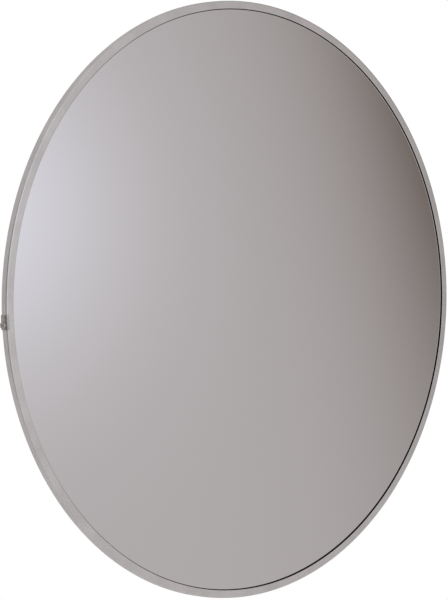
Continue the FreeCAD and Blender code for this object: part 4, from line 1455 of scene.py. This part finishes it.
@dataclass
class ArmClamp(SubAssembly):
    """The screw with its cross bar that locks the arm."""

    shop: Shop
    body: str = "clamp_handle"

    def build(self) -> None:
        """Build and dress every piece."""
        screw, bar = Extent.of("clamp_screw"), Extent.of("clamp_bar")
        start, end, hub = screw.low.x, screw.high.x, 7.5 * MM
        base = end - 14 * MM
        turn = np.linspace(0, math.pi / 2, 6)
        near = np.stack([base + 1.5 * MM * (1 - np.cos(turn)), hub - 1.5 * MM + 1.5 * MM * np.sin(turn)], 1)
        far = np.stack([end + base - near[::-1, 0], near[::-1, 1]], 1)
        rings = (Rings.round((start, 0), (start, 2.2 * MM), (start + 0.3 * MM, 2.5 * MM),
                             (start + 2 * MM, 2.5 * MM), (start + 2 * MM, 3.2 * MM))
                 + Rings.thread(4 * MM, 1.25 * MM, start + 2.1 * MM, base - 0.2 * MM)
                 + Rings.round(*near, *far, (end, 0)))
        piece = rings.piece("clamp_screw_finished", Axis.RIGHT, np.array([0, screw.centre[1], 0]))
        level = bar.size[2] / 4
        bore = Rings.round((-level, 0), (-level, 3.01 * MM), (level, 3.01 * MM), (level, 0))
        piece = pierced(piece, [bore.piece("bore", Axis.UP, bar.centre)])
        self.fit(piece, "fastener_zinc", "clamp_screw")
        self.fit(softened_copy("clamp_bar_caps", 0.2 * MM), "nylon_black")


# ================================================================ studio
def outward(azimuth: float, elevation: float) -> Vector:
    """The direction at these degrees, where azimuth 0 lies along -Y and turns towards +X."""
    turn, rise = math.radians(azimuth), math.radians(elevation)
    return Vector((math.sin(turn) * math.cos(rise), -math.cos(turn) * math.cos(rise), math.sin(rise)))


@dataclass(frozen=True)
class SoftPatch:
    """A soft box, or a black flag where the light is negative: its place and width in degrees."""

    name: str
    azimuth: float
    elevation: float
    width: float
    light: Colour


@dataclass
class Studio:
    """A white page for the camera, and a grey studio with one soft box and two flags round the object."""

    base: Colour = (0.46, 0.43, 0.43)
    patches: tuple[SoftPatch, ...] = (
        SoftPatch("soft_box", 0.0, 10.0, 15.0, (0.30, 0.32, 0.38)),
        SoftPatch("right_flag", 90.0, 15.0, 20.0, (-0.40, -0.40, -0.42)),
        SoftPatch("left_flag", -90.0, 0.0, 25.0, (-0.40, -0.38, -0.38)),
    )
    floor_level: float = -2.6
    floor_radius: float = 7.0
    floor_glow: float = 0.4
    azimuth: float = -42.3
    elevation: float = 1.2
    distance: float = 3.79
    aim: tuple[float, float, float] = (-0.027, -0.27, 0.0)
    lens: float = 178.7

    def build(self) -> None:
        """Build the world, the floor, the lights and the camera."""
        self.build_world()
        self.build_floor()
        self.build_lights()
        self.build_camera()
        scene = bpy.context.scene
        scene.view_settings.view_transform = "Standard"
        scene.view_settings.look = "None"
        scene.view_settings.exposure = 0.0
        scene.view_settings.gamma = 1.0

    def build_world(self) -> None:
        """White to the camera; elsewhere the base plus each patch's light.

        A patch's light falls off as the exponential of (cos angle - 1) over its width, in radians, squared.
        """
        world = bpy.data.worlds.new("studio")
        bpy.context.scene.world = world
        world.use_nodes = True
        graph = Graph(world.node_tree)
        look = graph.node("ShaderNodeTexCoord").outputs["Generated"]
        total = graph.node("ShaderNodeCombineXYZ", dict(enumerate(self.base))).outputs[0]
        for patch in self.patches:
            direction = tuple(outward(patch.azimuth, patch.elevation))
            cosine = graph.vector("DOT_PRODUCT", look, direction).outputs["Value"]
            tightness = math.radians(patch.width) ** -2
            below_peak = graph.math("SUBTRACT", cosine, 1.0)
            fall = graph.math("EXPONENT", graph.math("MULTIPLY", below_peak, tightness))
            part = graph.node("ShaderNodeVectorMath", {0: patch.light}, operation="SCALE")
            graph.tree.links.new(fall, part.inputs["Scale"])
            total = graph.vector("ADD", total, part.outputs[0]).outputs[0]
        total = graph.vector("MAXIMUM", total, (0.02, 0.02, 0.02)).outputs[0]
        room = graph.node("ShaderNodeBackground", {"Color": total, "Strength": 1.0})
        page = graph.node("ShaderNodeBackground", {"Color": (1, 1, 1, 1), "Strength": 1.0})
        camera = graph.node("ShaderNodeLightPath").outputs["Is Camera Ray"]
        mixed = graph.node("ShaderNodeMixShader", {0: camera, 1: room.outputs[0], 2: page.outputs[0]})
        graph.node("ShaderNodeOutputWorld", {"Surface": mixed.outputs[0]})

    def build_floor(self) -> None:
        """A pale matt disc below the object, out of sight of mirrors and clear from its underside."""
        angles = np.linspace(0, TURN, 96, endpoint=False)
        rim = np.stack([self.floor_radius * np.cos(angles), self.floor_radius * np.sin(angles),
                        np.full(96, self.floor_level)], 1)
        mesh = bpy.data.meshes.new("floor")
        mesh.from_pydata(rim, [], [list(range(96))])
        floor = bpy.data.objects.new("floor", mesh)
        bpy.context.scene.collection.objects.link(floor)
        floor.visible_glossy = False
        material, graph, shader, place = new_material("floor_paint")
        shader.inputs["Base Color"].default_value = (0.86, 0.86, 0.85, 1)
        shader.inputs["Emission Color"].default_value = (1, 1, 1, 1)
        shader.inputs["Emission Strength"].default_value = self.floor_glow
        join_input(graph, shader, "Roughness", graph.ramp(graph.noise(place, 3.0), 0.3, 0.7, 0.75, 0.9))
        below = graph.node("ShaderNodeNewGeometry").outputs["Backfacing"]
        clear = graph.node("ShaderNodeBsdfTransparent").outputs[0]
        mixed = graph.node("ShaderNodeMixShader", {0: below, 1: shader.outputs[0], 2: clear}).outputs[0]
        output = next(node for node in material.node_tree.nodes if node.type == "OUTPUT_MATERIAL")
        graph.tree.links.new(mixed, output.inputs["Surface"])
        mesh.materials.append(material)

    def build_lights(self) -> None:
        """Two large soft lights that model the matt pieces and don't show in the metal."""
        lamps = (("key", (-2.4, -2.6, 2.8), 2.0, 60.0), ("back", (1.6, 3.0, 1.6), 2.2, 95.0))
        for name, place, size, power in lamps:
            data = bpy.data.lights.new(name, "AREA")
            data.shape, data.size, data.energy = "DISK", size, power
            light = bpy.data.objects.new(name, data)
            light.location = place
            light.rotation_euler = (Vector((0, -0.2, 0)) - Vector(place)).to_track_quat("-Z", "Y").to_euler()
            light.visible_glossy = False
            bpy.context.scene.collection.objects.link(light)

    def build_camera(self) -> None:
        """The camera, at 43 degrees to the mirror's left and level with its middle."""
        data = bpy.data.cameras.new("camera")
        data.sensor_width, data.lens = 36.0, self.lens
        data.clip_start, data.clip_end = 0.1, 50.0
        camera = bpy.data.objects.new("camera", data)
        away = outward(self.azimuth, self.elevation)
        camera.location = Vector(self.aim) + away * self.distance
        camera.rotation_euler = (-away).to_track_quat("-Z", "Y").to_euler()
        bpy.context.scene.collection.objects.link(camera)
        bpy.context.scene.camera = camera


def main() -> None:
    """Build the object and its studio."""
    logging.basicConfig(level=logging.INFO, format="%(message)s")
    shop = Shop()
    shop.dress_nodes()
    for assembly in (RimRing, MirrorHead, Pivots, Arm, WallBracket, ArmClamp):
        assembly(shop).build()
    Studio().build()


if __name__ == "__main__":
    main()
